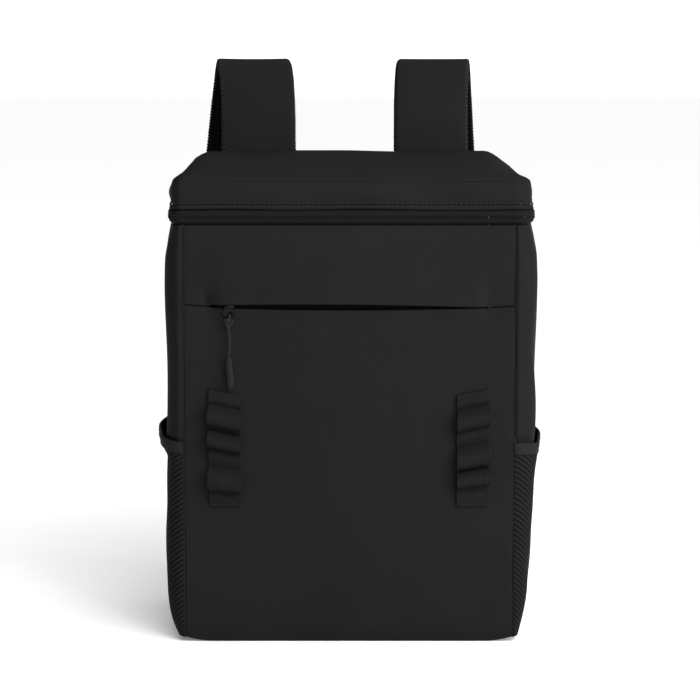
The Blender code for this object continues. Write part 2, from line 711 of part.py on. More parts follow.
def build_pull():
    """The slider in the slit, its tab, and the knotted cord with its moulded grip."""
    face = front_surface(PULL_ACROSS, SLIT_HEIGHT - TAB_HEIGHT)
    width, depth, height = SLIDER_SIZE
    slider_front = face - GAP
    block(
        "front_zip_slider",
        (PULL_ACROSS, slider_front + depth / 2, SLIT_HEIGHT),
        (width, depth, height),
        "painted_zip",
    )

    # The tab is a pear-shaped plate whose hole lies low and to one side
    sides = 14
    tab_back = slider_front - GAP
    top = SLIT_HEIGHT + height / 2
    middle = (PULL_ACROSS, top - TAB_HEIGHT / 2)
    hole = (middle[0] + 0.12 * TAB_WIDTH, middle[1] - 0.2 * TAB_HEIGHT)
    points = []
    for y in (tab_back, tab_back - TAB_THICKNESS):
        for radius_x, radius_z, centre, taper in (
            (TAB_WIDTH / 2, TAB_HEIGHT / 2, middle, 0.22),
            (TAB_HOLE / 2, TAB_HOLE / 2, hole, 0.0),
        ):
            for i in range(sides):
                angle = 2 * math.pi * i / sides
                narrow = 1 - taper * math.sin(angle)
                points.append(
                    (
                        centre[0] + radius_x * math.cos(angle) * narrow,
                        y,
                        centre[1] + radius_z * math.sin(angle),
                    )
                )
    faces = []
    for i in range(sides):
        j = (i + 1) % sides
        back_out, back_in, face_out, face_in = 0, sides, 2 * sides, 3 * sides
        faces.append((back_out + i, back_out + j, back_in + j, back_in + i))
        faces.append((face_out + j, face_out + i, face_in + i, face_in + j))
        faces.append((back_out + j, back_out + i, face_out + i, face_out + j))
        faces.append((back_in + i, back_in + j, face_in + j, face_in + i))
    solid("zip_pull_tab", points, faces, "painted_zip")

    knot_x = hole[0] - 0.1 * TAB_WIDTH
    knot_y = face - GAP - KNOT_WIDTH / 2
    knot_top = top - TAB_HEIGHT - GAP
    knot_z = knot_top - KNOT_HEIGHT / 2
    turned("pull_knot", (knot_x, knot_y, knot_z), KNOT_WIDTH / 2, KNOT_HEIGHT / 2)

    start = Vector((knot_x, knot_y, knot_z - KNOT_HEIGHT / 2 - GAP))
    sway = PULL_CORD_DIAMETER / 4
    route = [
        start,
        start + Vector((sway, 0, -0.25 * PULL_CORD_LENGTH)),
        start + Vector((1.6 * sway, 0, -0.50 * PULL_CORD_LENGTH)),
        start + Vector((sway, 0, -0.75 * PULL_CORD_LENGTH)),
        start + Vector((0, 0, -PULL_CORD_LENGTH)),
    ]
    tube("pull_cord", smooth_path(route, 2), PULL_CORD_DIAMETER, "webbing")

    grip_top = route[-1] - Vector((0, 0, GAP))
    sides = 8
    points = []
    for along, share in GRIP_ROWS:
        level = grip_top.z - GRIP_LENGTH * along
        for i in range(sides):
            angle = 2 * math.pi * (i + 0.5) / sides
            points.append(
                (
                    grip_top.x + GRIP_WIDTH / 2 * share * math.cos(angle),
                    grip_top.y + GRIP_DEPTH / 2 * share * math.sin(angle),
                    level,
                )
            )
    loft("pull_grip", points, sides, len(GRIP_ROWS), "moulded")


def turned(name, middle, radius, half_height, kind="webbing"):
    """A round knot, as rings between two poles."""
    sides, rings = 10, 6
    points = [(middle[0], middle[1], middle[2] + half_height)]
    for ring_index in range(1, rings):
        angle = math.pi * ring_index / rings
        for i in range(sides):
            turn = 2 * math.pi * i / sides
            points.append(
                (
                    middle[0] + radius * math.sin(angle) * math.cos(turn),
                    middle[1] + radius * math.sin(angle) * math.sin(turn),
                    middle[2] + half_height * math.cos(angle),
                )
            )
    points.append((middle[0], middle[1], middle[2] - half_height))
    faces = []
    for i in range(sides):
        j = (i + 1) % sides
        faces.append((0, 1 + i, 1 + j))
        for ring_index in range(rings - 2):
            low = 1 + ring_index * sides
            faces.append((low + i, low + sides + i, low + sides + j, low + j))
        low = 1 + (rings - 2) * sides
        faces.append((low + j, low + i, len(points) - 1))
    return solid(name, points, faces, kind)


def loft(name, points, sides, rows, kind, sharp=40):
    """A closed piece through rings of the same number of points, with flat ends."""
    faces = [tuple(range(sides)), tuple(range((rows - 1) * sides, rows * sides))]
    for row in range(rows - 1):
        low = row * sides
        for i in range(sides):
            j = (i + 1) % sides
            faces.append((low + i, low + j, low + sides + j, low + sides + i))
    return solid(name, points, faces, kind, sharp)


def sweep(name, frames, profile, kind):
    """A strap: its profile carried along frames of a point, a side direction and an outward one."""
    points = [point + side * a + out * b for point, side, out in frames for a, b in profile]
    return loft(name, [tuple(p) for p in points], len(profile), len(frames), kind)


def strap_frames(path):
    """Frames along a strap, whose outward direction is the outer side of its bends."""
    frames = []
    for i, point in enumerate(path):
        along = (path[min(i + 1, len(path) - 1)] - path[max(i - 1, 0)]).normalized()
        across = Vector((1, 0, 0))
        side = (across - along * across.dot(along)).normalized()
        frames.append((point, side, side.cross(along)))
    return frames


def build_front_webbing():
    flat, thick = WEBBING_THICKNESS / 2, WEBBING_THICKNESS
    for kind, loops in (("left", LOOPS_LEFT), ("right", LOOPS_RIGHT)):
        across = SIGN[kind] * (SEAM_WIDTH / 2 - WEBBING_INSET) + SEAM_SHIFT
        stops = [(0.0, 0.0), (0.04, 0.0)]
        for start, end in loops:
            stops += [(start + (end - start) * along, reach) for along, reach in LOOP_ROWS]
        stops += [(0.93, 0.0), (1.0, 0.0)]
        path = []
        for share, reach in stops:
            height = WEBBING_FOOT + WEBBING_HEIGHT * (1 - share)
            # Half of the width on either side, so that the flat back clears a crowned panel
            edge = min(
                front_surface(across + k * WEBBING_WIDTH / 2, height) for k in (-1, 0, 1)
            )
            middle = (edge + front_surface(across, height)) / 2
            path.append(Vector((across, middle - GAP - flat - LOOP_REACH * reach, height)))
        lean = (
            front_surface(across + WEBBING_WIDTH / 2, WEBBING_FOOT)
            - front_surface(across - WEBBING_WIDTH / 2, WEBBING_FOOT)
        ) / WEBBING_WIDTH
        side = Vector((1, lean, 0)).normalized()
        frames = []
        for i, point in enumerate(path):
            along = (path[min(i + 1, len(path) - 1)] - path[max(i - 1, 0)]).normalized()
            frames.append((point, side, along.cross(side).normalized()))
        half = WEBBING_WIDTH / 2
        profile = [(-half, -thick / 2), (half, -thick / 2), (half, thick / 2), (-half, thick / 2)]
        sweep(f"front_webbing_{kind}", frames, profile, "webbing")


def build_straps():
    foot_reach = PAD_THICKNESS + GAP
    half = STRAP_WIDTH / 2
    pad = [
        (-half, 0.45 * PAD_THICKNESS),
        (-0.97 * half, GAP / 2),
        (0.97 * half, GAP / 2),
        (half, 0.45 * PAD_THICKNESS),
        (0.96 * half, 0.9 * PAD_THICKNESS),
        (0.80 * half, PAD_THICKNESS),
        (-0.80 * half, PAD_THICKNESS),
        (-0.96 * half, 0.9 * PAD_THICKNESS),
    ]
    half = LINING_WIDTH / 2
    low, high = -GAP / 2, -GAP / 2 - LINING_THICKNESS
    lining = [(-half, low), (half, low), (0.97 * half, high), (-0.97 * half, high)]
    for kind in KINDS:
        sign = SIGN[kind]
        splay = SPLAY_LEFT if kind == "left" else SPLAY_RIGHT
        across = sign * STRAP_SPACING / 2 + STRAP_SHIFT
        stops = [
            (
                across + sign * splay * turn,
                BACK_Y + foot_reach + (STRAP_REACH - foot_reach) * reach,
                STRAP_TOP * height,
            )
            for reach, height, turn in STRAP_ROWS
        ]
        frames = strap_frames(smooth_path(stops, 2))
        sweep(f"strap_pad_{kind}", frames, pad, "coated_fabric")
        sweep(f"strap_lining_{kind}", frames, lining, "air_mesh")
        build_strap_end(kind, frames[-1][0], (frames[-1][0] - frames[-2][0]).normalized())


def build_strap_end(kind, start, along):
    """The adjuster at a pad's lower end, the webbing below it and the tab that holds it."""
    sign = SIGN[kind]
    half, thick = ADJUSTER_WIDTH / 2, ADJUSTER_THICKNESS / 2
    frame = strap_frames([start + along * GAP, start + along * (GAP + ADJUSTER_LENGTH)])
    profile = [(-half, -thick), (half, -thick), (half, thick), (-half, thick)]
    sweep(f"strap_adjuster_{kind}", frame, profile, "moulded")

    anchor_face = BACK_Y + GAP + ANCHOR_THICKNESS
    across = sign * ANCHOR_SPACING / 2
    block(
        f"lower_anchor_{kind}",
        (across, BACK_Y + GAP + ANCHOR_THICKNESS / 2, ANCHOR_FOOT + ANCHOR_HEIGHT / 2),
        (ANCHOR_WIDTH, ANCHOR_THICKNESS, ANCHOR_HEIGHT),
        "webbing",
    )
    top = start + along * (2 * GAP + ADJUSTER_LENGTH)
    lie = anchor_face + GAP + WEBBING_THICKNESS / 2
    landing = [
        Vector((across, lie + ANCHOR_HEIGHT * out, ANCHOR_FOOT + ANCHOR_HEIGHT * up))
        for out, up in LANDING_ROWS
    ]
    path = smooth_path([top, top + along * WEBBING_WIDTH / 2, *landing], 2)
    half, thick = WEBBING_WIDTH / 2, WEBBING_THICKNESS / 2
    profile = [(-half, -thick), (half, -thick), (half, thick), (-half, thick)]
    # Its first end stays parallel to the adjuster's
    frames = [(top, *frame[-1][1:]), *strap_frames(path)[1:]]
    sweep(f"lower_webbing_{kind}", frames, profile, "webbing")


def main():
    clear_scene()
    whole = bpy.data.objects.new("cooler_backpack", None)
    bpy.context.scene.collection.objects.link(whole)
    build_back_and_base()
    build_front()
    build_sides()
    build_piping()
    build_zip()
    build_lid()
    build_front_zip()
    build_pull()
    build_front_webbing()
    build_straps()


main()
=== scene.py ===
"""Cooler backpack: the covers, cushions, mesh, zips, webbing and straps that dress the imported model.

Lengths are in metres. The front faces -Y, +Z is up, and left and right are as seen from the front.
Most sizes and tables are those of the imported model, so that every piece lies on its solid. The
others follow the real bag more closely, by a few millimetres.
"""

import math

import bmesh
import bpy
import numpy as np
from bpy.props import FloatProperty, FloatVectorProperty, IntProperty, PointerProperty
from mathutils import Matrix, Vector


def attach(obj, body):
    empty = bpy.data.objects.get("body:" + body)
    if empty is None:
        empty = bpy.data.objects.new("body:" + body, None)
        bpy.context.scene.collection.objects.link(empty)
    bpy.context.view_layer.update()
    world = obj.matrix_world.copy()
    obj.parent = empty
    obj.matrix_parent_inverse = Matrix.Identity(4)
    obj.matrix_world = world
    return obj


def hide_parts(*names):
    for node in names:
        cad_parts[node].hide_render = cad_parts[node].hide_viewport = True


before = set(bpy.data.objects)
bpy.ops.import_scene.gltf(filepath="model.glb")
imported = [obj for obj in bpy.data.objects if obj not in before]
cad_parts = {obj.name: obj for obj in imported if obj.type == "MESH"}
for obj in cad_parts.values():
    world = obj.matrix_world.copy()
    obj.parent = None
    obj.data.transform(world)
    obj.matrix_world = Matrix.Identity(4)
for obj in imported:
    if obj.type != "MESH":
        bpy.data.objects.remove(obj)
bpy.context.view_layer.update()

bl_info = {
    "name": "Cooler Backpack",
    "version": (1, 0, 0),
    "blender": (4, 5, 0),
    "location": "3D View > Sidebar > Cooler Backpack",
    "description": "Builds a padded cooler backpack piece by piece on its packed model",
    "category": "Object",
}

# Body
GAP = 0.0003
BODY_WIDTH = 0.298
BODY_DEPTH = 0.185
BODY_HEIGHT = 0.329
WALL = 0.005
BASE_THICKNESS = 0.005
SEAM_WIDTH = 0.258
SEAM_SHIFT = -0.002
BACK_SEAM_WIDTH = 0.232
FRONT_CORNER = 0.022
BACK_CORNER = 0.034
SIDE_BULGE = 0.004
FRONT_CROWN = 0.005
EDGE_DRAW = 0.010
PIPING_DIAMETER = 0.0024
SEAM_GAP = PIPING_DIAMETER / 2 + GAP
FRONT_Y = -BODY_DEPTH / 2
BACK_Y = BODY_DEPTH / 2

# Side pockets
POCKET_HEIGHT = 0.157
POCKET_HOLLOW = 0.0060
FLARE = {"left": 0.0065, "right": 0.0045}
FLARE_HEIGHT = {"left": 0.013, "right": 0.034}
MESH_THICKNESS = 0.001
BINDING_HEIGHT = 0.010
BINDING_THICKNESS = 0.0024
POCKET_EDGE = BINDING_THICKNESS + 2 * GAP

# Slit pocket
SLIT_HEIGHT = 0.264
SLIT_LENGTH = 0.220

# Lid and its zip
ZIP_BAND = 0.0143
ZIP_THICKNESS = 0.0016
ZIP_DRAW = 0.0012
HEM_HEIGHT = 0.0027
HEM_DRAW = 0.0008
LID_BAND = 0.0160
LID_DRAW = 0.0020
LID_DOME = 0.0135
LID_PADDING = 0.008
FOLD_RADIUS = 0.0025
EAR_RISE = 0.0025
EAR_RADIUS = 0.014
TAPE_TOP = BODY_HEIGHT + ZIP_BAND
HEM_TOP = TAPE_TOP + GAP + HEM_HEIGHT
BAND_TOP = HEM_TOP + GAP + LID_BAND
FOLD = BAND_TOP + GAP + FOLD_RADIUS
COIL_LEVEL = BODY_HEIGHT + 0.42 * ZIP_BAND

# Pull of the front zip
PULL_ACROSS = -0.0950
TAB_WIDTH = 0.0098
TAB_HEIGHT = 0.0100
TAB_THICKNESS = 0.0012
KNOT_WIDTH = 0.0066
KNOT_HEIGHT = 0.0070
CORD_DIAMETER = 0.0020
CORD_DROP = 0.0238
GRIP_LENGTH = 0.0243
GRIP_WIDTH = 0.0055
GRIP_DEPTH = 0.0042

# Webbing and straps
WEBBING_WIDTH = 0.025
WEBBING_THICKNESS = 0.0018
WEBBING_HEIGHT = 0.091
WEBBING_FOOT = 0.1065
WEBBING_INSET = 0.0325
LOOP_REACH = 0.0092
STRAP_WIDTH = 0.062
PAD_THICKNESS = 0.007
LINING_THICKNESS = 0.0025
LINING_WIDTH = 0.060
STRAP_SPACING = 0.146
STRAP_SHIFT = -0.0055
STRAP_RISE = 0.0860
STRAP_REACH = 0.099
SPLAY = {"left": 0.040, "right": 0.022}
ADJUSTER_WIDTH = 0.036
ADJUSTER_LENGTH = 0.024
ADJUSTER_THICKNESS = 0.005
ANCHOR_WIDTH = 0.034
ANCHOR_HEIGHT = 0.026
ANCHOR_THICKNESS = 0.002
ANCHOR_SPACING = 0.190
ANCHOR_FOOT = 0.012
STRAP_TOP = FOLD + STRAP_RISE

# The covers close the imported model's gaps beside the welts by this much
SEAM_CLOSED = 0.0010

# The real lid is a little narrower than its solid, and its hem stands back and hangs lower
LID_TUCK = 0.0030
HEM_TUCK = 0.0018
HEM_HANG = 0.0018

# The real slit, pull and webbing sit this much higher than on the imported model
SLIT_RISE = 0.0019
WEBBING_RISE = 0.0029

# The covers reach down over the edge of the base, which is set in by this much
COVER_FOOT = 0.0006
BASE_INSET = 0.0014
FOOT_ROLL = 0.0014

# The lower edge rises towards the front corners by this much, over this width
CORNER_RISE = 0.0038
BASE_RISE = 0.0036
CORNER_REACH = 0.022

# Thinnest parts of a padded wall: at the base, and where its face is pressed in
WALL_AT_BASE = 0.0011
THIN_WALL = 0.0006
MOST_ROLL = WALL * 0.8

# Zip: where its tape turns in to the body and to the hem, and how far its two halves part
ZIP_TUCK = ZIP_DRAW + 0.0020
RIM_DRAW = 0.0050
HEM_GROOVE = 0.0022
COIL_PART = 0.00015

# Hem and cushion of the lid
HEM_HALF = 0.0017
CUSHION_ROLL = 0.0046
CUSHION_LIFT = 0.00006
PLAN_REACH = 0.12

# Rolls of the straps' edges, and the adjusters' bars
PAD_ROLL = 0.0034
LINING_ROLL = 0.0012
RAIL_WIDTH = 0.0044

FRONT_OUT = (0.0, -1.0, 0.0)

# Camera: it stands at the photo's angle and distance, and sees a square picture
SENSOR_WIDTH = 36.0
FOCAL_PIXELS = 2447
PHOTO_PIXELS = 700
CAMERA_ELEVATION = 6.3
CAMERA_DISTANCE = 1.9
CAMERA_AIM = (-0.0011, FRONT_Y, 0.2320)
FLOOR_REACH = 60.0

KINDS = ("left", "right")
SIGN = {"left": -1, "right": 1}

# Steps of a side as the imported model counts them: its corners, its flank and all of it
CORNER_END = 5.0
FLANK_END = 12.0
SIDE_END = 17.0

# height, left, right, front, back
DRAW_ROWS = (
    (0.000, 0.95, 1.35, 0.55, 0.60),
    (0.030, 0.50, 1.12, 0.18, 0.22),
    (0.076, 0.15, 0.92, 0.03, 0.05),
    (0.152, 0.00, 0.70, 0.00, 0.00),
    (0.228, 0.00, 0.50, 0.00, 0.00),
    (0.334, 0.00, 0.25, 0.00, 0.00),
    (0.486, 0.00, 0.05, 0.00, 0.00),
    (0.700, 0.00, 0.00, 0.00, 0.00),
    (0.912, 0.00, 0.00, 0.00, 0.00),
    (0.957, 0.20, 0.20, 0.08, 0.08),
    (1.000, 0.50, 0.50, 0.30, 0.30),
)

# Line of the slit, as millimetres off its level at shares across the front
# across, rise
SLIT_LINE = (
    (-1.00, 1.5),
    (-0.88, 0.2),
    (-0.84, 0.0),
    (0.00, -0.5),
    (0.80, -0.9),
    (0.86, -0.8),
    (1.00, 0.4),
)

# Lower edge of the lid's hem, as millimetres off its level at shares across the front
# across, rise
HEM_LINE = (
    (-1.0, 0.0),
    (-0.7, 0.4),
    (-0.35, -0.3),
    (0.1, 0.5),
    (0.4, -0.2),
    (0.7, -0.6),
    (1.0, 0.0),
)

# along, reach
LOOP_ROWS = (
    (0.00, 0.00),
    (0.10, 0.17),
    (0.24, 0.46),
    (0.40, 0.74),
    (0.58, 0.93),
    (0.76, 1.00),
    (0.92, 0.92),
    (1.02, 0.68),
    (1.04, 0.40),
    (1.01, 0.14),
    (1.00, 0.00),
)
LOOPS = {
    "left": ((0.13, 0.29), (0.35, 0.48), (0.66, 0.84)),
    "right": ((0.13, 0.29), (0.45, 0.63), (0.67, 0.80)),
}

# reach, height, splay
STRAP_ROWS = (
    (0.000, 0.656, 0.00),
    (0.000, 0.722, 0.00),
    (0.040, 0.778, 0.00),
    (0.100, 0.855, 0.00),
    (0.220, 0.938, 0.02),
    (0.400, 0.986, 0.08),
    (0.600, 1.000, 0.16),
    (0.780, 0.978, 0.24),
    (0.910, 0.920, 0.34),
    (0.985, 0.840, 0.45),
    (1.000, 0.745, 0.58),
    (0.960, 0.640, 0.72),
    (0.870, 0.530, 0.86),
    (0.750, 0.430, 0.95),
    (0.630, 0.345, 1.00),
)

# out, up
LANDING_ROWS = ((0.50, 2.20), (0.16, 1.55), (0.03, 1.10), (0.00, 0.60), (0.00, 0.00))

# along, width
GRIP_ROWS = ((0.00, 0.94), (0.08, 1.00), (0.45, 1.00), (0.84, 1.04), (0.95, 0.80), (1.00, 0.34))


def length_field(label, text, default, low, high):
    """A length that the user may change."""
    return FloatProperty(
        name=label, description=text, default=default, min=low, max=high, unit="LENGTH",
        precision=5)


def colour_field(label, text, default):
    """A colour that the user may change."""
    return FloatVectorProperty(
        name=label, description=text, subtype="COLOR", default=default, min=0.0, max=1.0)


def light_field(label, text, default):
    """A lamp's power in watts, or the dome's strength."""
    return FloatProperty(name=label, description=text, default=default, min=0.0)


class BagBodySizes(bpy.types.PropertyGroup):
    """Sizes of the padded body."""

    roll: length_field(
        "Edge Roll", "Radius of each panel's rolled edge at a seam", 0.0012, 0.0005, 0.004)
    mesh_step: length_field("Cloth Step", "Spacing of the cloth's mesh", 0.0022, 0.001, 0.01)
    ripple: length_field(
        "Ripple", "Depth of the soft dents in the padded panels", 0.0006, 0.0, 0.003)
    lip_rise: length_field(
        "Lip Rise", "How far the slit's upper lip stands out", 0.0034, 0.0, 0.006)
    slit_open: length_field(
        "Slit Opening", "Height of the slit at its widest", 0.0044, 0.001, 0.010)
    welt: length_field(
        "Welt Diameter", "Diameter of the welt in the front seams", 0.0028, 0.001, 0.004)


class BagZipSizes(bpy.types.PropertyGroup):
    """Sizes of the zips."""

    tooth_pitch: length_field(
        "Tooth Pitch", "Distance between two teeth of the lid's zip", 0.00125, 0.0008, 0.003)
    tooth_height: length_field(
        "Tooth Height", "Height of the row of teeth", 0.0036, 0.002, 0.006)
    tape_bulge: length_field(
        "Tape Bulge", "How far the zip's band stands out between its edges", 0.0009, 0.0, 0.003)


class BagWebbingSizes(bpy.types.PropertyGroup):
    """Sizes of the webbing."""

    ribs: IntProperty(
        name="Ribs", description="Ridges across the webbing", default=12, min=4, max=20)
    rib_height: length_field(
        "Rib Height", "Depth of the grooves between two ridges", 0.00026, 0.0, 0.001)
    slant: FloatProperty(
        name="Loop Slant", description="How much lower a loop's inner edge lies, as a share",
        default=0.036, min=0.0, max=0.06)


class BagStitching(bpy.types.PropertyGroup):
    """Sizes of the stitches."""

    pitch: length_field(
        "Stitch Pitch", "Distance between two stitches of the lid's band", 0.0038, 0.001, 0.01)
    length: length_field("Stitch Length", "Length of one stitch", 0.0026, 0.0005, 0.01)
    thread: length_field("Thread", "Thickness of the thread", 0.0013, 0.0002, 0.002)


class BagFinishes(bpy.types.PropertyGroup):
    """Colours of the cloths, trims and fittings."""

    cloth: colour_field("Coated Cloth", "Colour of the covers", (0.0084, 0.0084, 0.0086))
    welt: colour_field("Welt", "Colour of the welt", (0.0088, 0.0088, 0.0090))
    mesh: colour_field("Pocket Mesh", "Colour of the mesh's threads", (0.0085, 0.0085, 0.0088))
    binding: colour_field(
        "Binding", "Colour of the pockets' binding", (0.0105, 0.0105, 0.0108))
    webbing: colour_field(
        "Webbing", "Colour of the webbing, and half that of the cord", (0.0062, 0.0062, 0.0064))
    zip_tape: colour_field("Zip Tape", "Colour of the zips' tape", (0.0060, 0.0060, 0.0062))
    air_mesh: colour_field(
        "Air Mesh", "Colour of the straps' inner mesh", (0.0018, 0.0018, 0.0019))
    plastic: colour_field("Plastic", "Colour of the moulded fittings", (0.0070, 0.0070, 0.0072))
    thread: colour_field("Thread", "Colour of the stitches", (0.0108, 0.0108, 0.0111))


class BagStageSizes(bpy.types.PropertyGroup):
    """The studio round the backpack."""

    key: light_field("Key Light", "Power of the softbox at the right", 92.0)
    front: light_field("Front Light", "Power of the softbox at the front", 70.0)
    dome: light_field("Dome", "Brightness of the dome overhead", 1.34)
    dome_low: light_field("Low Dome", "Brightness of the dome low down at the left", 0.06)
    floor: colour_field("Floor", "Colour of the floor", (0.90, 0.90, 0.90))


class NodeValue:
    """An output socket that takes part in Python sums, each of which adds a Math node."""

    def __init__(self, finish, socket):
        self.finish = finish
        self.socket = socket

    def maths(self, operation, *others):
        return self.finish.maths(operation, self, *others)

    def __add__(self, other):
        return self.maths("ADD", other)

    def __radd__(self, other):
        return self.maths("ADD", other)

    def __sub__(self, other):
        return self.maths("SUBTRACT", other)

    def __rsub__(self, other):
        return self.finish.maths("SUBTRACT", other, self)

    def __mul__(self, other):
        return self.maths("MULTIPLY", other)

    def __rmul__(self, other):
        return self.maths("MULTIPLY", other)

    def sine(self):
        return self.maths("SINE")

    def between(self, low, high):
        """0 below low and 1 above high, with a smooth step between them."""
        return self.finish.node(
            "ShaderNodeMapRange", {"interpolation_type": "SMOOTHSTEP"},
            {"Value": self, "From Min": low, "From Max": high}, "Result")


class Finish:
    """One material, with its nodes made from Python."""

    def __init__(self, name):
        self.material = bpy.data.materials.new(name)
        self.material.use_nodes = True
        self.tree = self.material.node_tree
        self.shader = self.tree.nodes["Principled BSDF"]

    def link(self, socket, value):
        if isinstance(value, NodeValue):
            self.tree.links.new(value.socket, socket)
        else:
            socket.default_value = value

    def node(self, kind, settings, values, output=0):
        """A node of any type: its settings first, then its sockets' values or links."""
        made = self.tree.nodes.new(kind)
        for name, value in settings.items():
            setattr(made, name, value)
        for name, value in values.items():
            self.link(made.inputs[name], value)
        return NodeValue(self, made.outputs[output])

    def maths(self, operation, *values):
        return self.node(
            "ShaderNodeMath", {"operation": operation}, dict(enumerate(values)))

    def mix(self, share, low, high):
        """A colour between two colours."""
        made = self.tree.nodes.new("ShaderNodeMix")
        made.data_type = "RGBA"
        self.link(made.inputs[0], share)
        self.link(made.inputs[6], low)
        self.link(made.inputs[7], high)
        return NodeValue(self, made.outputs[2])

    def place(self):
        """The piece's own coordinates in metres."""
        return self.node("ShaderNodeTexCoord", {}, {}, "Object")

    def cloth_place(self):
        """Along and up the cloth in metres, from the piece's UV map."""
        made = self.tree.nodes.new("ShaderNodeUVMap")
        made.uv_map = "cloth"
        split = self.tree.nodes.new("ShaderNodeSeparateXYZ")
        self.tree.links.new(made.outputs[0], split.inputs[0])
        return NodeValue(self, split.outputs[0]), NodeValue(self, split.outputs[1])

    def noise(self, place, scale, detail=3.0, roughness=0.55):
        return self.node(
            "ShaderNodeTexNoise", {},
            {"Vector": place, "Scale": scale, "Detail": detail, "Roughness": roughness}, "Fac")

    def bump(self, height, distance, strength=1.0, normal=None):
        values = {"Height": height, "Distance": distance, "Strength": strength}
        if normal is not None:
            values["Normal"] = normal
        return self.node("ShaderNodeBump", {}, values)

    def shade(self, **values):
        """Values for the shader's sockets, with spaces in their names as underscores."""
        for name, value in values.items():
            self.link(self.shader.inputs[name.replace("_", " ")], value)


def tinted(value, factor):
    return (*(channel * factor for channel in value), 1.0)


def waves(coordinate, pitch):
    """A sine along a coordinate, from 0 to 1."""
    return (coordinate * (2 * math.pi / pitch)).sine() * 0.5 + 0.5


def coated_cloth():
    """Smooth coated cloth: a fine plain weave under the coat, with faint tone changes."""
    finish = Finish("coated_cloth")
    base = bpy.context.scene.bag_finishes.cloth
    along, up = finish.cloth_place()
    place = finish.place()
    weave = waves(along, 0.00062) * waves(up, 0.00062) + (1 - waves(along, 0.00062)) * (
        1 - waves(up, 0.00062))
    cloud = finish.noise(place, 16.0, 2.0)
    grain = finish.noise(place, 900.0, 2.0)
    scuff = finish.noise(place, 60.0, 4.0).between(0.55, 0.75)
    tone = cloud * 0.55 + grain * 0.25 + scuff * 0.2
    finish.shade(
        Base_Color=finish.mix(tone, tinted(base, 0.82), tinted(base, 1.22)),
        Roughness=grain * 0.06 + cloud * 0.06 + 0.55,
        Specular_IOR_Level=0.018,
        Normal=finish.bump(
            weave, 0.00004, 0.5, finish.bump(cloud * 0.6 + scuff * 0.4, 0.00035, 0.35)))
    return finish.material


def plain_cloth(name, base, pitch, depth, roughness, level):
    """Woven cloth or tape with a visible ribbed weave."""
    finish = Finish(name)
    along, up = finish.cloth_place()
    place = finish.place()
    ribs = waves(along, pitch) * 0.6 + waves(up, pitch * 0.7) * 0.4
    grain = finish.noise(place, 1400.0, 2.0)
    cloud = finish.noise(place, 45.0, 2.0)
    finish.shade(
        Base_Color=finish.mix(
            ribs * 0.5 + grain * 0.3 + cloud * 0.2, tinted(base, 0.6), tinted(base, 1.35)),
        Roughness=grain * 0.1 + (roughness - 0.05),
        Specular_IOR_Level=level,
        Normal=finish.bump(ribs + grain * 0.4, depth, 0.7))
    return finish.material


def knitted_mesh():
    """Pocket mesh: slanting ribs of fine knit with dark holes between them."""
    finish = Finish("knitted_mesh")
    base = bpy.context.scene.bag_finishes.mesh
    along, up = finish.cloth_place()
    slant = up + along * 0.75
    rib = waves(slant, 0.0042)
    hole_rows = waves(up - along * 1.4, 0.0019)
    threads = (rib * 0.62 + hole_rows * 0.38).between(0.30, 0.72)
    grain = finish.noise(finish.place(), 1200.0, 2.0)
    finish.shade(
        Base_Color=finish.mix(threads * 0.8 + grain * 0.2, tinted(base, 0.28), tinted(base, 1.45)),
        Roughness=0.8,
        Specular_IOR_Level=0.03,
        Normal=finish.bump(threads + grain * 0.15, 0.0006, 0.8))
    return finish.material


def spacer_mesh():
    """Air mesh of the straps' inner side: a honeycomb of dark holes in a springy knit."""
    finish = Finish("spacer_mesh")
    base = bpy.context.scene.bag_finishes.air_mesh
    along, up = finish.cloth_place()
    place = finish.node("ShaderNodeCombineXYZ", {}, {"X": along, "Y": up, "Z": 0.0})
    cells = finish.node(
        "ShaderNodeTexVoronoi", {"feature": "DISTANCE_TO_EDGE", "voronoi_dimensions": "2D"},
        {"Vector": place, "Scale": 310.0, "Randomness": 0.25}, "Distance")
    walls = 1 - cells.between(0.06, 0.30)
    grain = finish.noise(finish.place(), 1500.0, 2.0)
    finish.shade(
        Base_Color=finish.mix(walls * 0.8 + grain * 0.2, tinted(base, 0.15), tinted(base, 1.6)),
        Roughness=0.85,
        Specular_IOR_Level=0.03,
        Normal=finish.bump(walls + grain * 0.2, 0.0010, 0.9))
    return finish.material


def ribbed_webbing():
    """Webbing: fine picks across it, over the ridges of its own mesh."""
    finish = Finish("ribbed_webbing")
    base = bpy.context.scene.bag_finishes.webbing
    along, up = finish.cloth_place()
    picks = waves(up, 0.0011)
    yarn = waves(up * 0.5 + along, 0.0010)
    grain = finish.noise(finish.place(), 1600.0, 2.0)
    worn = finish.noise(finish.place(), 120.0, 3.0)
    finish.shade(
        Base_Color=finish.mix(
            picks * 0.45 + grain * 0.3 + worn * 0.25, tinted(base, 0.55), tinted(base, 1.5)),
        Roughness=grain * 0.1 + 0.62,
        Specular_IOR_Level=0.04,
        Normal=finish.bump(picks * 0.6 + yarn * 0.3 + grain * 0.3, 0.00016, 0.7))
    return finish.material


def moulded_plastic(name, base, roughness, level):
    """Moulded or painted fittings: a fine pebbled skin."""
    finish = Finish(name)
    place = finish.place()
    pebble = finish.noise(place, 1800.0, 2.0)
    handled = finish.noise(place, 160.0, 3.0)
    finish.shade(
        Base_Color=finish.mix(handled, tinted(base, 0.85), tinted(base, 1.2)),
        Roughness=handled * 0.14 + (roughness - 0.07),
        Specular_IOR_Level=level,
        Normal=finish.bump(pebble, 0.00004, 0.4))
    return finish.material


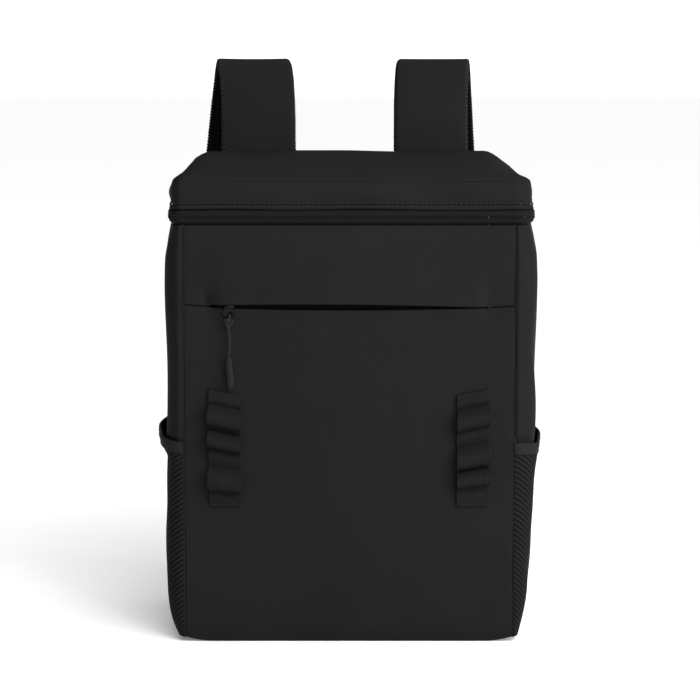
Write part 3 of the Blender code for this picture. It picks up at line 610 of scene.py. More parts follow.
def sewing_thread():
    """Thread of the stitches, with its twist."""
    finish = Finish("sewing_thread")
    base = bpy.context.scene.bag_finishes.thread
    twist = finish.noise(finish.place(), 2400.0, 1.0)
    finish.shade(
        Base_Color=finish.mix(twist, tinted(base, 0.7), tinted(base, 1.3)),
        Roughness=0.55,
        Specular_IOR_Level=0.08,
        Normal=finish.bump(twist, 0.0001, 0.6))
    return finish.material


def pale_floor():
    """Pale floor that glows a little, more so far away, where no lamp reaches it."""
    finish = Finish("pale_floor")
    base = bpy.context.scene.bag_stage.floor
    place = finish.place()
    cloud = finish.noise(place, 3.0, 3.0)
    distance = finish.node("ShaderNodeVectorMath", {"operation": "LENGTH"}, {0: place}, "Value")
    far = distance.between(1.0, 3.0)
    finish.shade(
        Base_Color=finish.mix(cloud, tinted(base, 0.985), tinted(base, 1.0)),
        Roughness=0.9,
        Specular_IOR_Level=0.0,
        Emission_Color=finish.mix(far, (0.5, 0.5, 0.5, 1.0), (1.0, 1.0, 1.0, 1.0)),
        Emission_Strength=0.34)
    return finish.material


# kind: name, colour, times that colour, pitch of the ribs, depth, roughness, specular level
PLAIN_CLOTHS = {
    "welt": ("welt_cloth", "welt", 1.0, 0.0007, 0.00005, 0.5, 0.04),
    "binding": ("binding_tape", "binding", 1.0, 0.0008, 0.0001, 0.65, 0.04),
    "zip_tape": ("zip_tape_weave", "zip_tape", 1.0, 0.0007, 0.00016, 0.75, 0.04),
    # The slit's tape is painted at 0.22 of the zip tape's colour: painted shade in the slit's recess
    "slit_tape": ("slit_tape_weave", "zip_tape", 0.22, 0.0007, 0.00016, 0.8, 0.01),
    "overlock": ("overlock_thread", "thread", 1.1, 0.0006, 0.0001, 0.6, 0.06),
    "cord": ("braided_cord", "webbing", 2.0, 0.0009, 0.00012, 0.65, 0.05),
}
# kind: name, colour, times that colour, roughness, specular level
FITTINGS = {
    "teeth": ("zip_teeth_plastic", "zip_tape", 1.0, 0.45, 0.08),
    "painted": ("painted_metal", "plastic", 0.30, 0.30, 0.10),
    "plastic": ("moulded_plastic", "plastic", 1.3, 0.5, 0.05),
}
OTHER_FINISHES = {
    "cloth": coated_cloth,
    "pocket_mesh": knitted_mesh,
    "webbing": ribbed_webbing,
    "air_mesh": spacer_mesh,
    "thread": sewing_thread,
    "floor": pale_floor,
}
made_materials = {}


def finish_of(kind):
    """The material of one kind, made once."""
    if kind not in made_materials:
        if kind in OTHER_FINISHES:
            made_materials[kind] = OTHER_FINISHES[kind]()
        else:
            maker, table = (
                (plain_cloth, PLAIN_CLOTHS) if kind in PLAIN_CLOTHS else (moulded_plastic, FITTINGS))
            name, part, times, *numbers = table[kind]
            base = [channel * times for channel in getattr(bpy.context.scene.bag_finishes, part)]
            made_materials[kind] = maker(name, base, *numbers)
    return made_materials[kind]


def smoothstep(value):
    value = np.clip(value, 0.0, 1.0)
    return value * value * (3 - 2 * value)


def read_rows(rows, at, column):
    """A smooth curve through one column of a table, read at shares of its first column."""
    table = np.asarray(rows, float)
    keys, values = table[:, 0], table[:, column]
    at = np.clip(np.asarray(at, float), keys[0], keys[-1])
    here = np.clip(np.searchsorted(keys, at, side="right") - 1, 0, len(keys) - 2)
    low = np.maximum(np.arange(len(keys)) - 1, 0)
    high = np.minimum(np.arange(len(keys)) + 1, len(keys) - 1)
    slopes = (values[high] - values[low]) / (keys[high] - keys[low])
    span = keys[here + 1] - keys[here]
    part = (at - keys[here]) / span
    square, cube = part**2, part**3
    return (
        (2 * cube - 3 * square + 1) * values[here]
        + (cube - 2 * square + part) * span * slopes[here]
        + (3 * square - 2 * cube) * values[here + 1]
        + (cube - square) * span * slopes[here + 1]
    )


def smooth_path(points, steps):
    """Points on a smooth curve through given ones, with this many steps between each two."""
    points = np.asarray(points, float)
    ends = np.concatenate([[2 * points[0] - points[1]], points, [2 * points[-1] - points[-2]]])
    t = (np.arange(steps) / steps)[None, :, None]
    before, start, end, after = (ends[i : len(ends) - 3 + i, None, :] for i in range(4))
    made = 0.5 * (
        2 * start
        + (end - before) * t
        + (2 * before - 5 * start + 4 * end - after) * t**2
        + (3 * start - before - 3 * end + after) * t**3
    )
    return np.concatenate([made.reshape(-1, points.shape[1]), points[-1:]])


def resampled(points, step):
    """The same line with its points evenly spaced."""
    lengths = np.linalg.norm(np.diff(points, axis=0), axis=1)
    along = np.concatenate([[0], np.cumsum(lengths)])
    count = max(2, int(round(along[-1] / step)) + 1)
    places = np.linspace(0, along[-1], count)
    return np.column_stack([np.interp(places, along, axis) for axis in points.T])


def ripples(a, b, seed, scale, count=9):
    """Soft random dents over a surface, from about -1 to 1."""
    chance = np.random.default_rng(seed)
    total = np.zeros(np.broadcast(a, b).shape)
    for _ in range(count):
        turn = chance.uniform(0, 2 * math.pi)
        pitch = scale * chance.uniform(0.7, 1.8)
        phase = chance.uniform(0, 2 * math.pi)
        total = total + np.sin(
            2 * math.pi * (a * math.cos(turn) + b * math.sin(turn)) / pitch + phase)
    return total / math.sqrt(count)


def rolled(distance, radius):
    """How far a surface turns in at a distance from its edge, on a round of this radius."""
    near = np.clip(1 - distance / radius, 0.0, 1.0)
    return radius * (1 - np.sqrt(1 - near**2))


def spaced(length, step, roll, fine=5):
    """Shares along a length, closer together within a roll of each end."""
    near = roll * (1 - np.cos(np.linspace(0, math.pi / 2, fine + 1)))
    middle = np.linspace(roll, length - roll, max(2, int(round((length - 2 * roll) / step)) + 1))
    return np.concatenate([near[:-1], middle, length - near[:-1][::-1]]) / length


def body_draw(height):
    """How far the left, right, front and back edges draw in at heights of the body."""
    share = np.asarray(height, float) / BODY_HEIGHT
    return [EDGE_DRAW * read_rows(DRAW_ROWS, share, column) for column in (1, 2, 3, 4)]


def side_place(kind, station, draw_side, draw_front, draw_back):
    """Plan points of one side at stations from its front seam to its back seam."""
    sign = SIGN[kind]
    seam = SEAM_WIDTH / 2 + sign * SEAM_SHIFT + SEAM_GAP - SEAM_CLOSED
    back_seam = BACK_SEAM_WIDTH / 2 + GAP
    half = BODY_WIDTH / 2 - draw_side - SIDE_BULGE
    front, back = FRONT_Y + draw_front, BACK_Y - draw_back
    turn = np.clip(station / CORNER_END, 0, 1) * math.pi / 2
    share = np.clip((station - CORNER_END) / (FLANK_END - CORNER_END), 0, 1)
    end_turn = np.clip((station - FLANK_END) / CORNER_END, 0, 1) * math.pi / 2
    start, end = front + FRONT_CORNER, back - BACK_CORNER
    x = np.where(
        station < CORNER_END,
        seam + (half - seam) * np.sin(turn),
        np.where(
            station < FLANK_END,
            half + SIDE_BULGE * np.sin(math.pi * share) ** 2,
            back_seam + (half - back_seam) * np.cos(end_turn),
        ),
    )
    y = np.where(
        station < CORNER_END,
        front + FRONT_CORNER * (1 - np.cos(turn)),
        np.where(
            station < FLANK_END,
            start + (end - start) * share,
            back - BACK_CORNER * (1 - np.sin(end_turn)),
        ),
    )
    return sign * x, y


def side_surface(kind, station, height, depth):
    """Points of one side, each moved inwards from the body's outline by its own depth."""
    station, height = np.broadcast_arrays(station, height)
    draws = body_draw(height)
    draw = (draws[0] if kind == "left" else draws[1], draws[2], draws[3])
    x, y = side_place(kind, station, *draw)
    step = 0.02
    ahead = side_place(kind, np.minimum(station + step, SIDE_END), *draw)
    behind = side_place(kind, np.maximum(station - step, 0), *draw)
    run = np.stack([ahead[0] - behind[0], ahead[1] - behind[1]])
    run = run / np.linalg.norm(run, axis=0)
    sign = SIGN[kind]
    x = x - sign * run[1] * depth
    y = y + sign * run[0] * depth
    across = sign * x
    half = across.shape[1] // 2
    across[:, :half] = np.maximum(across[:, :half], across[:, :1])
    across[:, half:] = np.maximum(across[:, half:], across[:, -1:])
    return np.stack([sign * across, y, height], axis=-1)


def outline(draw, part, step=0.0022):
    """Plan points with inward normals, all round or along the zip or the hinge."""
    def side(kind, start, end):
        x, y = side_place(kind, np.linspace(start, end, 90), draw, draw, draw)
        return np.column_stack([x, y])

    reach = SEAM_WIDTH / 2 - SEAM_GAP
    front = np.array([(SEAM_SHIFT - reach, FRONT_Y + draw), (SEAM_SHIFT + reach, FRONT_Y + draw)])
    reach = BACK_SEAM_WIDTH / 2 - GAP
    back = np.array([(reach, BACK_Y - draw), (-reach, BACK_Y - draw)])
    if part == "whole":
        line = [front, side("right", 0, SIDE_END), back, side("left", SIDE_END, 0), front[:1]]
    elif part == "zip":
        line = [side("left", FLANK_END, 0), front, side("right", 0, FLANK_END)]
    else:
        line = [side("right", FLANK_END + 1, SIDE_END), back, side("left", SIDE_END, FLANK_END + 1)]
    points = resampled(np.concatenate(line), step)
    if part == "whole":
        points = points[:-1]
        run = np.roll(points, -1, axis=0) - np.roll(points, 1, axis=0)
    else:
        run = np.gradient(points, axis=0)
    run /= np.linalg.norm(run, axis=1)[:, None]
    return points, np.column_stack([-run[:, 1], run[:, 0]])


def slit_share(across):
    """1 along the slit, falling smoothly to 0 at its ends."""
    return smoothstep((SLIT_LENGTH / 2 - np.abs(across - SEAM_SHIFT)) / 0.012)


def slit_level(across):
    """Height of the slit's middle line."""
    share = (across - SEAM_SHIFT) / (SEAM_WIDTH / 2)
    return SLIT_HEIGHT + SLIT_RISE + 0.001 * read_rows(SLIT_LINE, share, 1)


def slit_opening(across):
    """Share of the full opening: half open at its left end, and closing slowly to its right."""
    from_left = across - SEAM_SHIFT + SLIT_LENGTH / 2
    from_right = SEAM_SHIFT + SLIT_LENGTH / 2 - across
    wide = 0.55 + 0.45 * smoothstep(from_left / 0.080)
    return smoothstep(from_left / 0.006) * wide * smoothstep(from_right / 0.110) ** 0.6


def front_crown(across, height):
    """Y of the front's plain crowned form, between the seams."""
    share = np.minimum(np.abs(across - SEAM_SHIFT) / (SEAM_WIDTH / 2), 1.0)
    rise = np.sin(math.pi * np.clip(height / BODY_HEIGHT, 0.0, 1.0))
    return FRONT_Y + body_draw(height)[2] - FRONT_CROWN * (1 - share**2) ** 2 * rise


def front_surface(across, height):
    """Y of the front covers' outer face, with the slit's lips and the dents at its ends."""
    sizes = bpy.context.scene.bag_body
    above = height - slit_level(across)
    here = slit_share(across)
    upper = sizes.lip_rise * here * (
        0.62 * np.exp(-((above / 0.024) ** 2)) + 0.38 * np.exp(-((above / 0.007) ** 2)))
    lower = 0.0021 * np.exp(-((above / 0.0070) ** 2)) * here
    from_end = (across - SEAM_SHIFT + SLIT_LENGTH / 2) / 0.010
    to_end = (across - SEAM_SHIFT - SLIT_LENGTH / 2) / 0.010
    dents = 0.0016 * np.exp(-(from_end**2) - (above / 0.012) ** 2)
    dents += 0.0011 * np.exp(-(to_end**2) - (above / 0.012) ** 2)
    dents += 0.0008 * np.exp(-((from_end - 0.6) ** 2) / 3 - ((above + 0.018) / 0.016) ** 2)
    crease = (across - SEAM_SHIFT + SLIT_LENGTH / 2 + 0.0008) / 0.0026
    dents += 0.0024 * np.exp(-(crease**2) - ((above - 0.005) / 0.006) ** 2)
    soft = sizes.ripple * ripples(across, height, 4, 0.11)
    edge = SEAM_WIDTH / 2 - np.abs(across - SEAM_SHIFT)
    soft = soft * smoothstep(edge / 0.03) * smoothstep(height / 0.03)
    soft = soft * (1 - 0.8 * np.exp(-((above / 0.012) ** 2)))
    return front_crown(across, height) - np.where(above > 0, upper, lower) + dents - soft


def sheet_faces(rows, columns, closed, offset=0):
    """Quads of a grid of points as point numbers, and the same quads in an unclosed grid."""
    wide = columns if closed else columns - 1
    row, column = np.meshgrid(np.arange(rows - 1), np.arange(wide), indexing="ij")
    row, column = row.ravel(), column.ravel()
    following = (column + 1) % columns
    points = np.column_stack([
        row * columns + column, row * columns + following,
        (row + 1) * columns + following, (row + 1) * columns + column]) + offset
    span = columns + 1
    flat = np.column_stack([
        row * span + column, row * span + column + 1,
        (row + 1) * span + column + 1, (row + 1) * span + column])
    return points, flat


def cloth_lengths(grid, closed):
    """Lengths along and up a grid of points, for its UV map."""
    wrapped = np.concatenate([grid, grid[:, :1] if closed else grid[:, -1:]], axis=1)
    steps = np.linalg.norm(np.diff(wrapped, axis=1), axis=2).mean(axis=0)
    along = np.concatenate([[0], np.cumsum(steps)])
    rises = np.linalg.norm(np.diff(wrapped, axis=0), axis=2).mean(axis=1)
    up = np.concatenate([[0], np.cumsum(rises)])
    return np.stack(np.meshgrid(along, up), axis=-1).reshape(-1, 2)


def mesh_object(name, points, faces, corners_uv, sharp=50):
    """A mesh object at the origin, smooth apart from its sharp edges."""
    mesh = bpy.data.meshes.new(name)
    mesh.from_pydata(np.asarray(points).tolist(), [], [list(face) for face in faces])
    layer = mesh.uv_layers.new(name="cloth")
    layer.data.foreach_set("uv", np.asarray(corners_uv, np.float32).ravel())
    made = bpy.data.objects.new(name, mesh)
    bpy.context.scene.collection.objects.link(made)
    work = bmesh.new()
    work.from_mesh(mesh)
    bmesh.ops.recalc_face_normals(work, faces=work.faces)
    work.to_mesh(mesh)
    work.free()
    mesh.shade_smooth()
    mesh.set_sharp_from_angle(angle=math.radians(sharp))
    return made


def wall(name, outer, inner, closed=False, sharp=50):
    """A closed wall between an outer and an inner grid of points."""
    rows, columns = outer.shape[:2]
    size = rows * columns
    front, flat = sheet_faces(rows, columns, closed)
    back = front[:, ::-1] + size
    lengths = cloth_lengths(outer, closed)
    uv = [lengths[flat], lengths[flat[:, ::-1]]]
    faces = [front, back]
    wide = columns if closed else columns - 1
    column = np.arange(wide)
    following = (column + 1) % columns
    top = (rows - 1) * columns
    faces.append(np.column_stack([column, column + size, following + size, following]))
    faces.append(
        np.column_stack([top + column, top + following, size + top + following, size + top + column]))
    for base in (0, (rows - 1) * (columns + 1)):
        low, high = lengths[base + column], lengths[base + column + 1]
        side = [low, low, high, high] if base == 0 else [low, high, high, low]
        shift = np.array([0, WALL])
        moved = (1, 2) if base == 0 else (2, 3)
        side = [place + shift * (i in moved) for i, place in enumerate(side)]
        uv.append(np.stack(side, axis=1))
    if not closed:
        row = np.arange(rows - 1) * columns
        last = row + columns - 1
        faces.append(np.column_stack([row, row + columns, size + row + columns, size + row]))
        faces.append(np.column_stack([last, size + last, size + last + columns, last + columns]))
        span = np.arange(rows - 1) * (columns + 1)
        for base in (span, span + columns - 1):
            low, high = lengths[base], lengths[base + columns + 1]
            shift = np.array([WALL, 0])
            if base is span:
                side = [low, high, high + shift, low + shift]
            else:
                side = [low, low + shift, high + shift, high]
            uv.append(np.stack(side, axis=1))
    points = np.concatenate([outer.reshape(-1, 3), inner.reshape(-1, 3)])
    return mesh_object(name, points, np.concatenate(faces), np.concatenate(uv), sharp)


def tube_grid(path, radius, sides=12, flat=1.0):
    """Rings of points round a path, with radii that may change along it."""
    path = np.asarray(path, float)
    run = np.gradient(path, axis=0)
    run /= np.linalg.norm(run, axis=1)[:, None]
    first = np.cross(run, (0.0, 1.0, 0.0))
    weak = np.linalg.norm(first, axis=1) < 0.2
    first[weak] = np.cross(run[weak], (1.0, 0.0, 0.0))
    first /= np.linalg.norm(first, axis=1)[:, None]
    second = np.cross(run, first)
    turn = np.arange(sides) * 2 * math.pi / sides
    radius = np.broadcast_to(np.asarray(radius, float), (len(path),))[:, None, None]
    return path[:, None, :] + radius * (
        np.cos(turn)[None, :, None] * first[:, None, :]
        + flat * np.sin(turn)[None, :, None] * second[:, None, :]
    )


def closed_tube(name, grid):
    """A closed piece through rings of points, with rounded or flat ends closed by a fan."""
    rows, sides = grid.shape[:2]
    faces, flat = sheet_faces(rows, sides, True)
    lengths = cloth_lengths(grid, True)
    uv = lengths[flat]
    points = np.concatenate([grid.reshape(-1, 3), grid[:1].mean(axis=1), grid[-1:].mean(axis=1)])
    column = np.arange(sides)
    following = (column + 1) % sides
    size = rows * sides
    low = np.column_stack([np.full(sides, size), following, column])
    high = np.column_stack([np.full(sides, size + 1), column + size - sides, following + size - sides])
    all_faces = [list(face) for face in faces] + low.tolist() + high.tolist()
    ends = np.zeros((6 * sides, 2))
    return mesh_object(name, points, all_faces, np.concatenate([uv.reshape(-1, 2), ends]))


def row_tree(name):
    """A node tree that sets small rounded parts at even steps along the edges of a mesh."""
    tree = bpy.data.node_groups.new(name, "GeometryNodeTree")
    inputs = (
        ("Geometry", "NodeSocketGeometry"), ("Spacing", "NodeSocketFloat"),
        ("Size", "NodeSocketVector"), ("Lean", "NodeSocketFloat"), ("Jitter", "NodeSocketFloat"),
        ("Seed", "NodeSocketInt"), ("Material", "NodeSocketMaterial"))
    for label, kind in inputs:
        tree.interface.new_socket(label, in_out="INPUT", socket_type=kind)
    tree.interface.new_socket("Geometry", in_out="OUTPUT", socket_type="NodeSocketGeometry")

    def add(kind, settings, values):
        made = tree.nodes.new(kind)
        for setting, value in settings.items():
            setattr(made, setting, value)
        for socket, value in values.items():
            if isinstance(value, bpy.types.NodeSocket):
                tree.links.new(value, made.inputs[socket])
            else:
                made.inputs[socket].default_value = value
        return made.outputs

    given = tree.nodes.new("NodeGroupInput").outputs
    curve = add("GeometryNodeMeshToCurve", {}, {"Mesh": given["Geometry"]})[0]
    steps = add(
        "GeometryNodeResampleCurve", {"mode": "LENGTH"},
        {"Curve": curve, "Length": given["Spacing"]})[0]
    out = add("GeometryNodeInputNamedAttribute", {"data_type": "FLOAT_VECTOR"}, {"Name": "out"})[0]
    along = add("GeometryNodeInputTangent", {}, {})[0]
    facing = add("FunctionNodeAlignRotationToVector", {"axis": "Z"}, {"Vector": out})[0]
    turned = add(
        "FunctionNodeAlignRotationToVector", {"axis": "X", "pivot_axis": "Z"},
        {"Rotation": facing, "Vector": along})[0]
    chance = add(
        "FunctionNodeRandomValue", {"data_type": "FLOAT"},
        {"Min": -1.0, "Max": 1.0, "Seed": given["Seed"]})[1]
    swing = add(
        "ShaderNodeMath", {"operation": "MULTIPLY_ADD"},
        {0: chance, 1: given["Jitter"], 2: given["Lean"]})[0]
    lean = add("FunctionNodeAxisAngleToRotation", {}, {"Axis": (0.0, 0.0, 1.0), "Angle": swing})[0]
    leaned = add(
        "FunctionNodeRotateRotation", {"rotation_space": "LOCAL"},
        {"Rotation": turned, "Rotate By": lean})[0]
    bead = add("GeometryNodeMeshUVSphere", {}, {"Segments": 8, "Rings": 5, "Radius": 0.5})[0]
    parts = add(
        "GeometryNodeInstanceOnPoints", {},
        {"Points": steps, "Instance": bead, "Rotation": leaned, "Scale": given["Size"]})[0]
    real = add("GeometryNodeRealizeInstances", {}, {"Geometry": parts})[0]
    smooth = add("GeometryNodeSetShadeSmooth", {}, {"Geometry": real})[0]
    dressed = add(
        "GeometryNodeSetMaterial", {}, {"Geometry": smooth, "Material": given["Material"]})[0]
    tree.links.new(dressed, tree.nodes.new("NodeGroupOutput").inputs["Geometry"])
    return tree


def row_of_parts(name, lines, spacing, size, kind, slot, *nodes, lean=0.0, jitter=0.0, seed=1):
    """One dressed piece of small parts along lines, each given as points with outward directions."""
    tree = bpy.data.node_groups.get("row_of_parts") or row_tree("row_of_parts")
    points, edges, outs = [], [], []
    for line, out in lines:
        start = sum(len(part) for part in points)
        edges += [(start + i, start + i + 1) for i in range(len(line) - 1)]
        points.append(np.asarray(line, float))
        outs.append(np.broadcast_to(np.asarray(out, float), (len(line), 3)))
    guide = bpy.data.meshes.new(f"{name}_guide")
    guide.from_pydata(np.concatenate(points).tolist(), edges, [])
    layer = guide.attributes.new("out", "FLOAT_VECTOR", "POINT")
    layer.data.foreach_set("vector", np.concatenate(outs).astype(np.float32).ravel())
    carrier = bpy.data.objects.new(f"{name}_guide", guide)
    bpy.context.scene.collection.objects.link(carrier)
    modifier = carrier.modifiers.new("Row", "NODES")
    modifier.node_group = tree
    values = {
        "Spacing": spacing, "Size": size, "Lean": lean, "Jitter": jitter, "Seed": seed,
        "Material": finish_of(kind)}
    for item in tree.interface.items_tree:
        if item.in_out == "INPUT" and item.name in values:
            modifier[item.identifier] = values[item.name]
    shown = carrier.evaluated_get(bpy.context.evaluated_depsgraph_get())
    mesh = bpy.data.meshes.new_from_object(shown)
    mesh.name = name
    bpy.data.objects.remove(carrier, do_unlink=True)
    made = bpy.data.objects.new(name, mesh)
    bpy.context.scene.collection.objects.link(made)
    return dress(made, kind, slot, *nodes)


def dress(piece, kind, slot, *nodes):
    """Gives a piece its material, lets it ride, and hides the nodes that it stands for."""
    piece.data.materials.clear()
    piece.data.materials.append(finish_of(kind))
    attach(piece, "root")
    if nodes:
        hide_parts(*nodes)
    return piece


def wall_depth(height):
    """Thickness of a padded wall, thin where it overlaps the edge of the base."""
    return WALL_AT_BASE + (WALL - WALL_AT_BASE) * smoothstep((height - BASE_THICKNESS) / 0.003)


def corner_lift(across):
    """How far the lower edge rises towards the two front corners."""
    from_corner = SEAM_WIDTH / 2 - np.abs(across - SEAM_SHIFT)
    return CORNER_RISE * np.clip(1 - from_corner / CORNER_REACH, 0.0, 1.3) ** 2


def side_foot(station):
    """Height of a side's lower edge, which falls from the front corner to the back."""
    return COVER_FOOT + CORNER_RISE * (1 - 0.9 * smoothstep(station / SIDE_END))


def front_cover(name, low, high, low_roll, high_roll):
    """One front cover between a lower and an upper edge, rolled in at all four seams."""
    sizes = bpy.context.scene.bag_body
    half = SEAM_WIDTH / 2 - SEAM_GAP + SEAM_CLOSED * 0.8
    across = SEAM_SHIFT - half + 2 * half * spaced(2 * half, sizes.mesh_step, sizes.roll)
    height = np.mean(high(across) - low(across))
    share = spaced(height, sizes.mesh_step, max(low_roll, high_roll))[:, None]
    bottom, top = low(across)[None, :], high(across)[None, :]
    x = np.broadcast_to(across[None, :], (len(share), len(across)))
    z = bottom + (top - bottom) * share
    edge = np.minimum(x - across[0], across[-1] - x)
    turned = rolled(edge, sizes.roll)
    turned = turned + rolled(z - bottom, low_roll) + rolled(top - z, high_roll)
    y = front_surface(x, z) + np.minimum(turned, MOST_ROLL)
    inner_y = np.maximum(front_crown(x, z) + wall_depth(z), y + THIN_WALL)
    outer = np.stack([x, y, z], axis=-1)
    inner = np.stack([x, inner_y, z], axis=-1)
    return dress(wall(name, outer, inner), "cloth", "coated_fabric")


def build_front_covers():
    """The lower and the upper front cover, which meet at the slit."""
    sizes = bpy.context.scene.bag_body

    def slit_edge(side):
        return lambda x: slit_level(x) + side * (
            GAP / 2 + (sizes.slit_open / 2 - GAP / 2) * slit_opening(x))

    lower = front_cover(
        "front_cover_lower", lambda x: COVER_FOOT + corner_lift(x), slit_edge(-1), 0.0016, 0.0022)
    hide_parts("front_panel_lower")
    upper = front_cover(
        "front_cover_upper", slit_edge(1), lambda x: np.full_like(x, BODY_HEIGHT), 0.0012, 0.0020)
    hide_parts("front_panel_upper")


def press(station, height):
    """How far a side panel is pressed in behind its pocket."""
    share = station / SIDE_END
    below_mouth = smoothstep((POCKET_HEIGHT + BINDING_HEIGHT - height) / BINDING_HEIGHT)
    above_base = smoothstep(height / (4 * BASE_THICKNESS))
    bow = np.sin(math.pi * np.clip(share, 0, 1)) ** 0.7
    return below_mouth * (POCKET_EDGE + POCKET_HOLLOW * bow * above_base)


def soft_press(kind, station, height):
    """The same for the real cloth, which lies against the mesh near the front corner."""
    full = press(station, height)
    near = np.maximum(np.minimum(full, 1.1 * POCKET_EDGE) - 0.9 * flare(kind, station, height), 0)
    deep = smoothstep((station - 5.0) / 6.0)
    return near + (full - near) * deep


def flare(kind, station, height):
    """How far the pocket's mouth stands out from the body's outline."""
    rise = smoothstep((height - POCKET_HEIGHT + FLARE_HEIGHT[kind]) / FLARE_HEIGHT[kind])
    return FLARE[kind] * np.sin(math.pi * np.clip(station / SIDE_END, 0, 1)) ** 1.2 * rise


def fullness(kind, station, height):
    """How much fuller the real side is than its solid, below the lid and over the pocket."""
    bow = np.sin(math.pi * np.clip(station / SIDE_END, 0, 1)) ** 1.5
    flank = np.exp(-(((height - 0.235) / 0.055) ** 2)) * (0.0004 if kind == "left" else -0.0010)
    pocket = np.exp(-(((height - 0.060) / 0.048) ** 2)) * (0.0016 if kind == "left" else 0.0030)
    return bow * (flank + pocket * smoothstep(height / 0.02))


def mouth_rise(kind, station):
    """How much higher the real pocket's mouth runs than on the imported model."""
    at_seam, at_corner = {"left": (0.0036, 0.0072), "right": (0.0028, 0.0008)}[kind]
    return at_seam + (at_corner - at_seam) * smoothstep(station / 6.0)


def side_stations(step):
    """Stations of a side, close together at its seams."""
    corner = CORNER_END * (np.linspace(0, 1, 15) ** 1.3)
    flank = np.linspace(CORNER_END, FLANK_END, int(0.13 / step) + 1)
    back = SIDE_END - (SIDE_END - FLANK_END) * (np.linspace(1, 0, 15) ** 1.3)
    return np.concatenate([corner[:-1], flank[:-1], back])


def build_side_covers():
    """The padded sides, from the front seam round the flank to the back."""
    sizes = bpy.context.scene.bag_body
    station = side_stations(0.0032)[None, :]
    rise = spaced(BODY_HEIGHT - COVER_FOOT, 0.003, sizes.roll)[:, None]
    low = side_foot(station)
    height = low + (BODY_HEIGHT - low) * rise
    for index, kind in enumerate(KINDS):
        x, y = side_place(kind, station[0], 0.0, 0.0, 0.0)
        run = np.concatenate([[0], np.cumsum(np.hypot(np.diff(x), np.diff(y)))])
        edge = np.minimum(run, run[-1] - run)[None, :]
        depth = soft_press(kind, station, height) - fullness(kind, station, height) * 0.8
        depth = depth + rolled(edge, sizes.roll)
        depth = depth + rolled(height - low, FOOT_ROLL)
        depth = depth + rolled(BODY_HEIGHT - height, sizes.roll)
        soft = ripples(run[None, :], height, 11 + index, 0.10)
        depth = depth + sizes.ripple * 1.2 * soft * smoothstep(edge / 0.02)
        depth = depth - 0.0011 * np.exp(-(((run[None, :] - 0.0034) / 0.0030) ** 2))
        outer = side_surface(kind, station, height, depth)
        pressed = press(station, height) + wall_depth(height)
        inner = side_surface(kind, station, height, np.maximum(pressed, depth + THIN_WALL))
        piece = dress(
            wall(f"side_cover_{kind}", outer, inner), "cloth", "coated_fabric", f"side_panel_{kind}")


def build_back_and_base():
    """The padded back, and the floor of the bag."""
    sizes = bpy.context.scene.bag_body
    foot = COVER_FOOT
    reach = BACK_SEAM_WIDTH / 2 - GAP
    across = -reach + 2 * reach * spaced(2 * reach, 0.004, sizes.roll)
    height = foot + (BODY_HEIGHT - foot) * spaced(BODY_HEIGHT - foot, 0.004, sizes.roll)
    x, z = np.meshgrid(across[::-1], height)
    flat = BACK_Y - body_draw(z)[3]
    turned = rolled(reach - np.abs(x), sizes.roll) + rolled(z - foot, FOOT_ROLL)
    turned = turned + rolled(BODY_HEIGHT - z, sizes.roll)
    edge = np.minimum(reach - np.abs(x), np.minimum(z - foot, BODY_HEIGHT - z))
    soft = sizes.ripple * ripples(x, z, 31, 0.12) * smoothstep(edge / 0.03)
    y = flat - np.minimum(turned, MOST_ROLL) + soft
    outer = np.stack([x, y, z], axis=-1)
    inner = np.stack([x, np.minimum(flat - wall_depth(z), y - THIN_WALL), z], axis=-1)
    piece = dress(wall("back_cover", outer, inner), "cloth", "coated_fabric", "back_panel")

    # The floor of the bag, with a rounded lower edge
    draws = [float(part) for part in body_draw(0.0)]
    high_draws = [float(part) for part in body_draw(BASE_THICKNESS)]
    rows = []
    for level, inset in (
            (0.0, 0.0012), (0.0003, 0.0004), (0.0009, 0.0), (0.0040, 0.0), (BASE_THICKNESS, 0.0006)):
        share = level / BASE_THICKNESS
        here = [low + (high - low) * share for low, high in zip(draws, high_draws)]
        rows.append(base_ring(here, BASE_INSET + inset, level))
    piece = closed_tube("base_cover", np.stack(rows))
    dress(piece, "cloth", "coated_fabric", "base_panel")


def base_ring(draws, inset, level):
    """Points all round the base at one level."""
    left, right, front_draw, back_draw = draws
    reach = SEAM_WIDTH / 2 - SEAM_GAP
    front_x = np.linspace(SEAM_SHIFT - reach, SEAM_SHIFT + reach, 60)
    front = np.column_stack([front_x, np.full(60, FRONT_Y + front_draw)])
    station = np.linspace(0, SIDE_END, 70)
    right_side = np.column_stack(side_place("right", station, right, front_draw, back_draw))
    left_side = np.column_stack(side_place("left", station, left, front_draw, back_draw))[::-1]
    reach = BACK_SEAM_WIDTH / 2 - GAP
    back_x = np.linspace(reach, -reach, 50)
    back = np.column_stack([back_x, np.full(50, BACK_Y - back_draw)])
    points = np.concatenate([front, right_side, back, left_side])
    run = np.roll(points, -1, axis=0) - np.roll(points, 1, axis=0)
    run /= np.linalg.norm(run, axis=1)[:, None]
    points = points + np.column_stack([-run[:, 1], run[:, 0]]) * inset
    from_side = SEAM_WIDTH / 2 - np.abs(points[:, 0] - SEAM_SHIFT)
    lift = BASE_RISE * np.clip(1 - from_side / CORNER_REACH, 0.0, 1.3) ** 2
    return np.column_stack([points, level + lift * (1 - level / (2 * BASE_THICKNESS))])


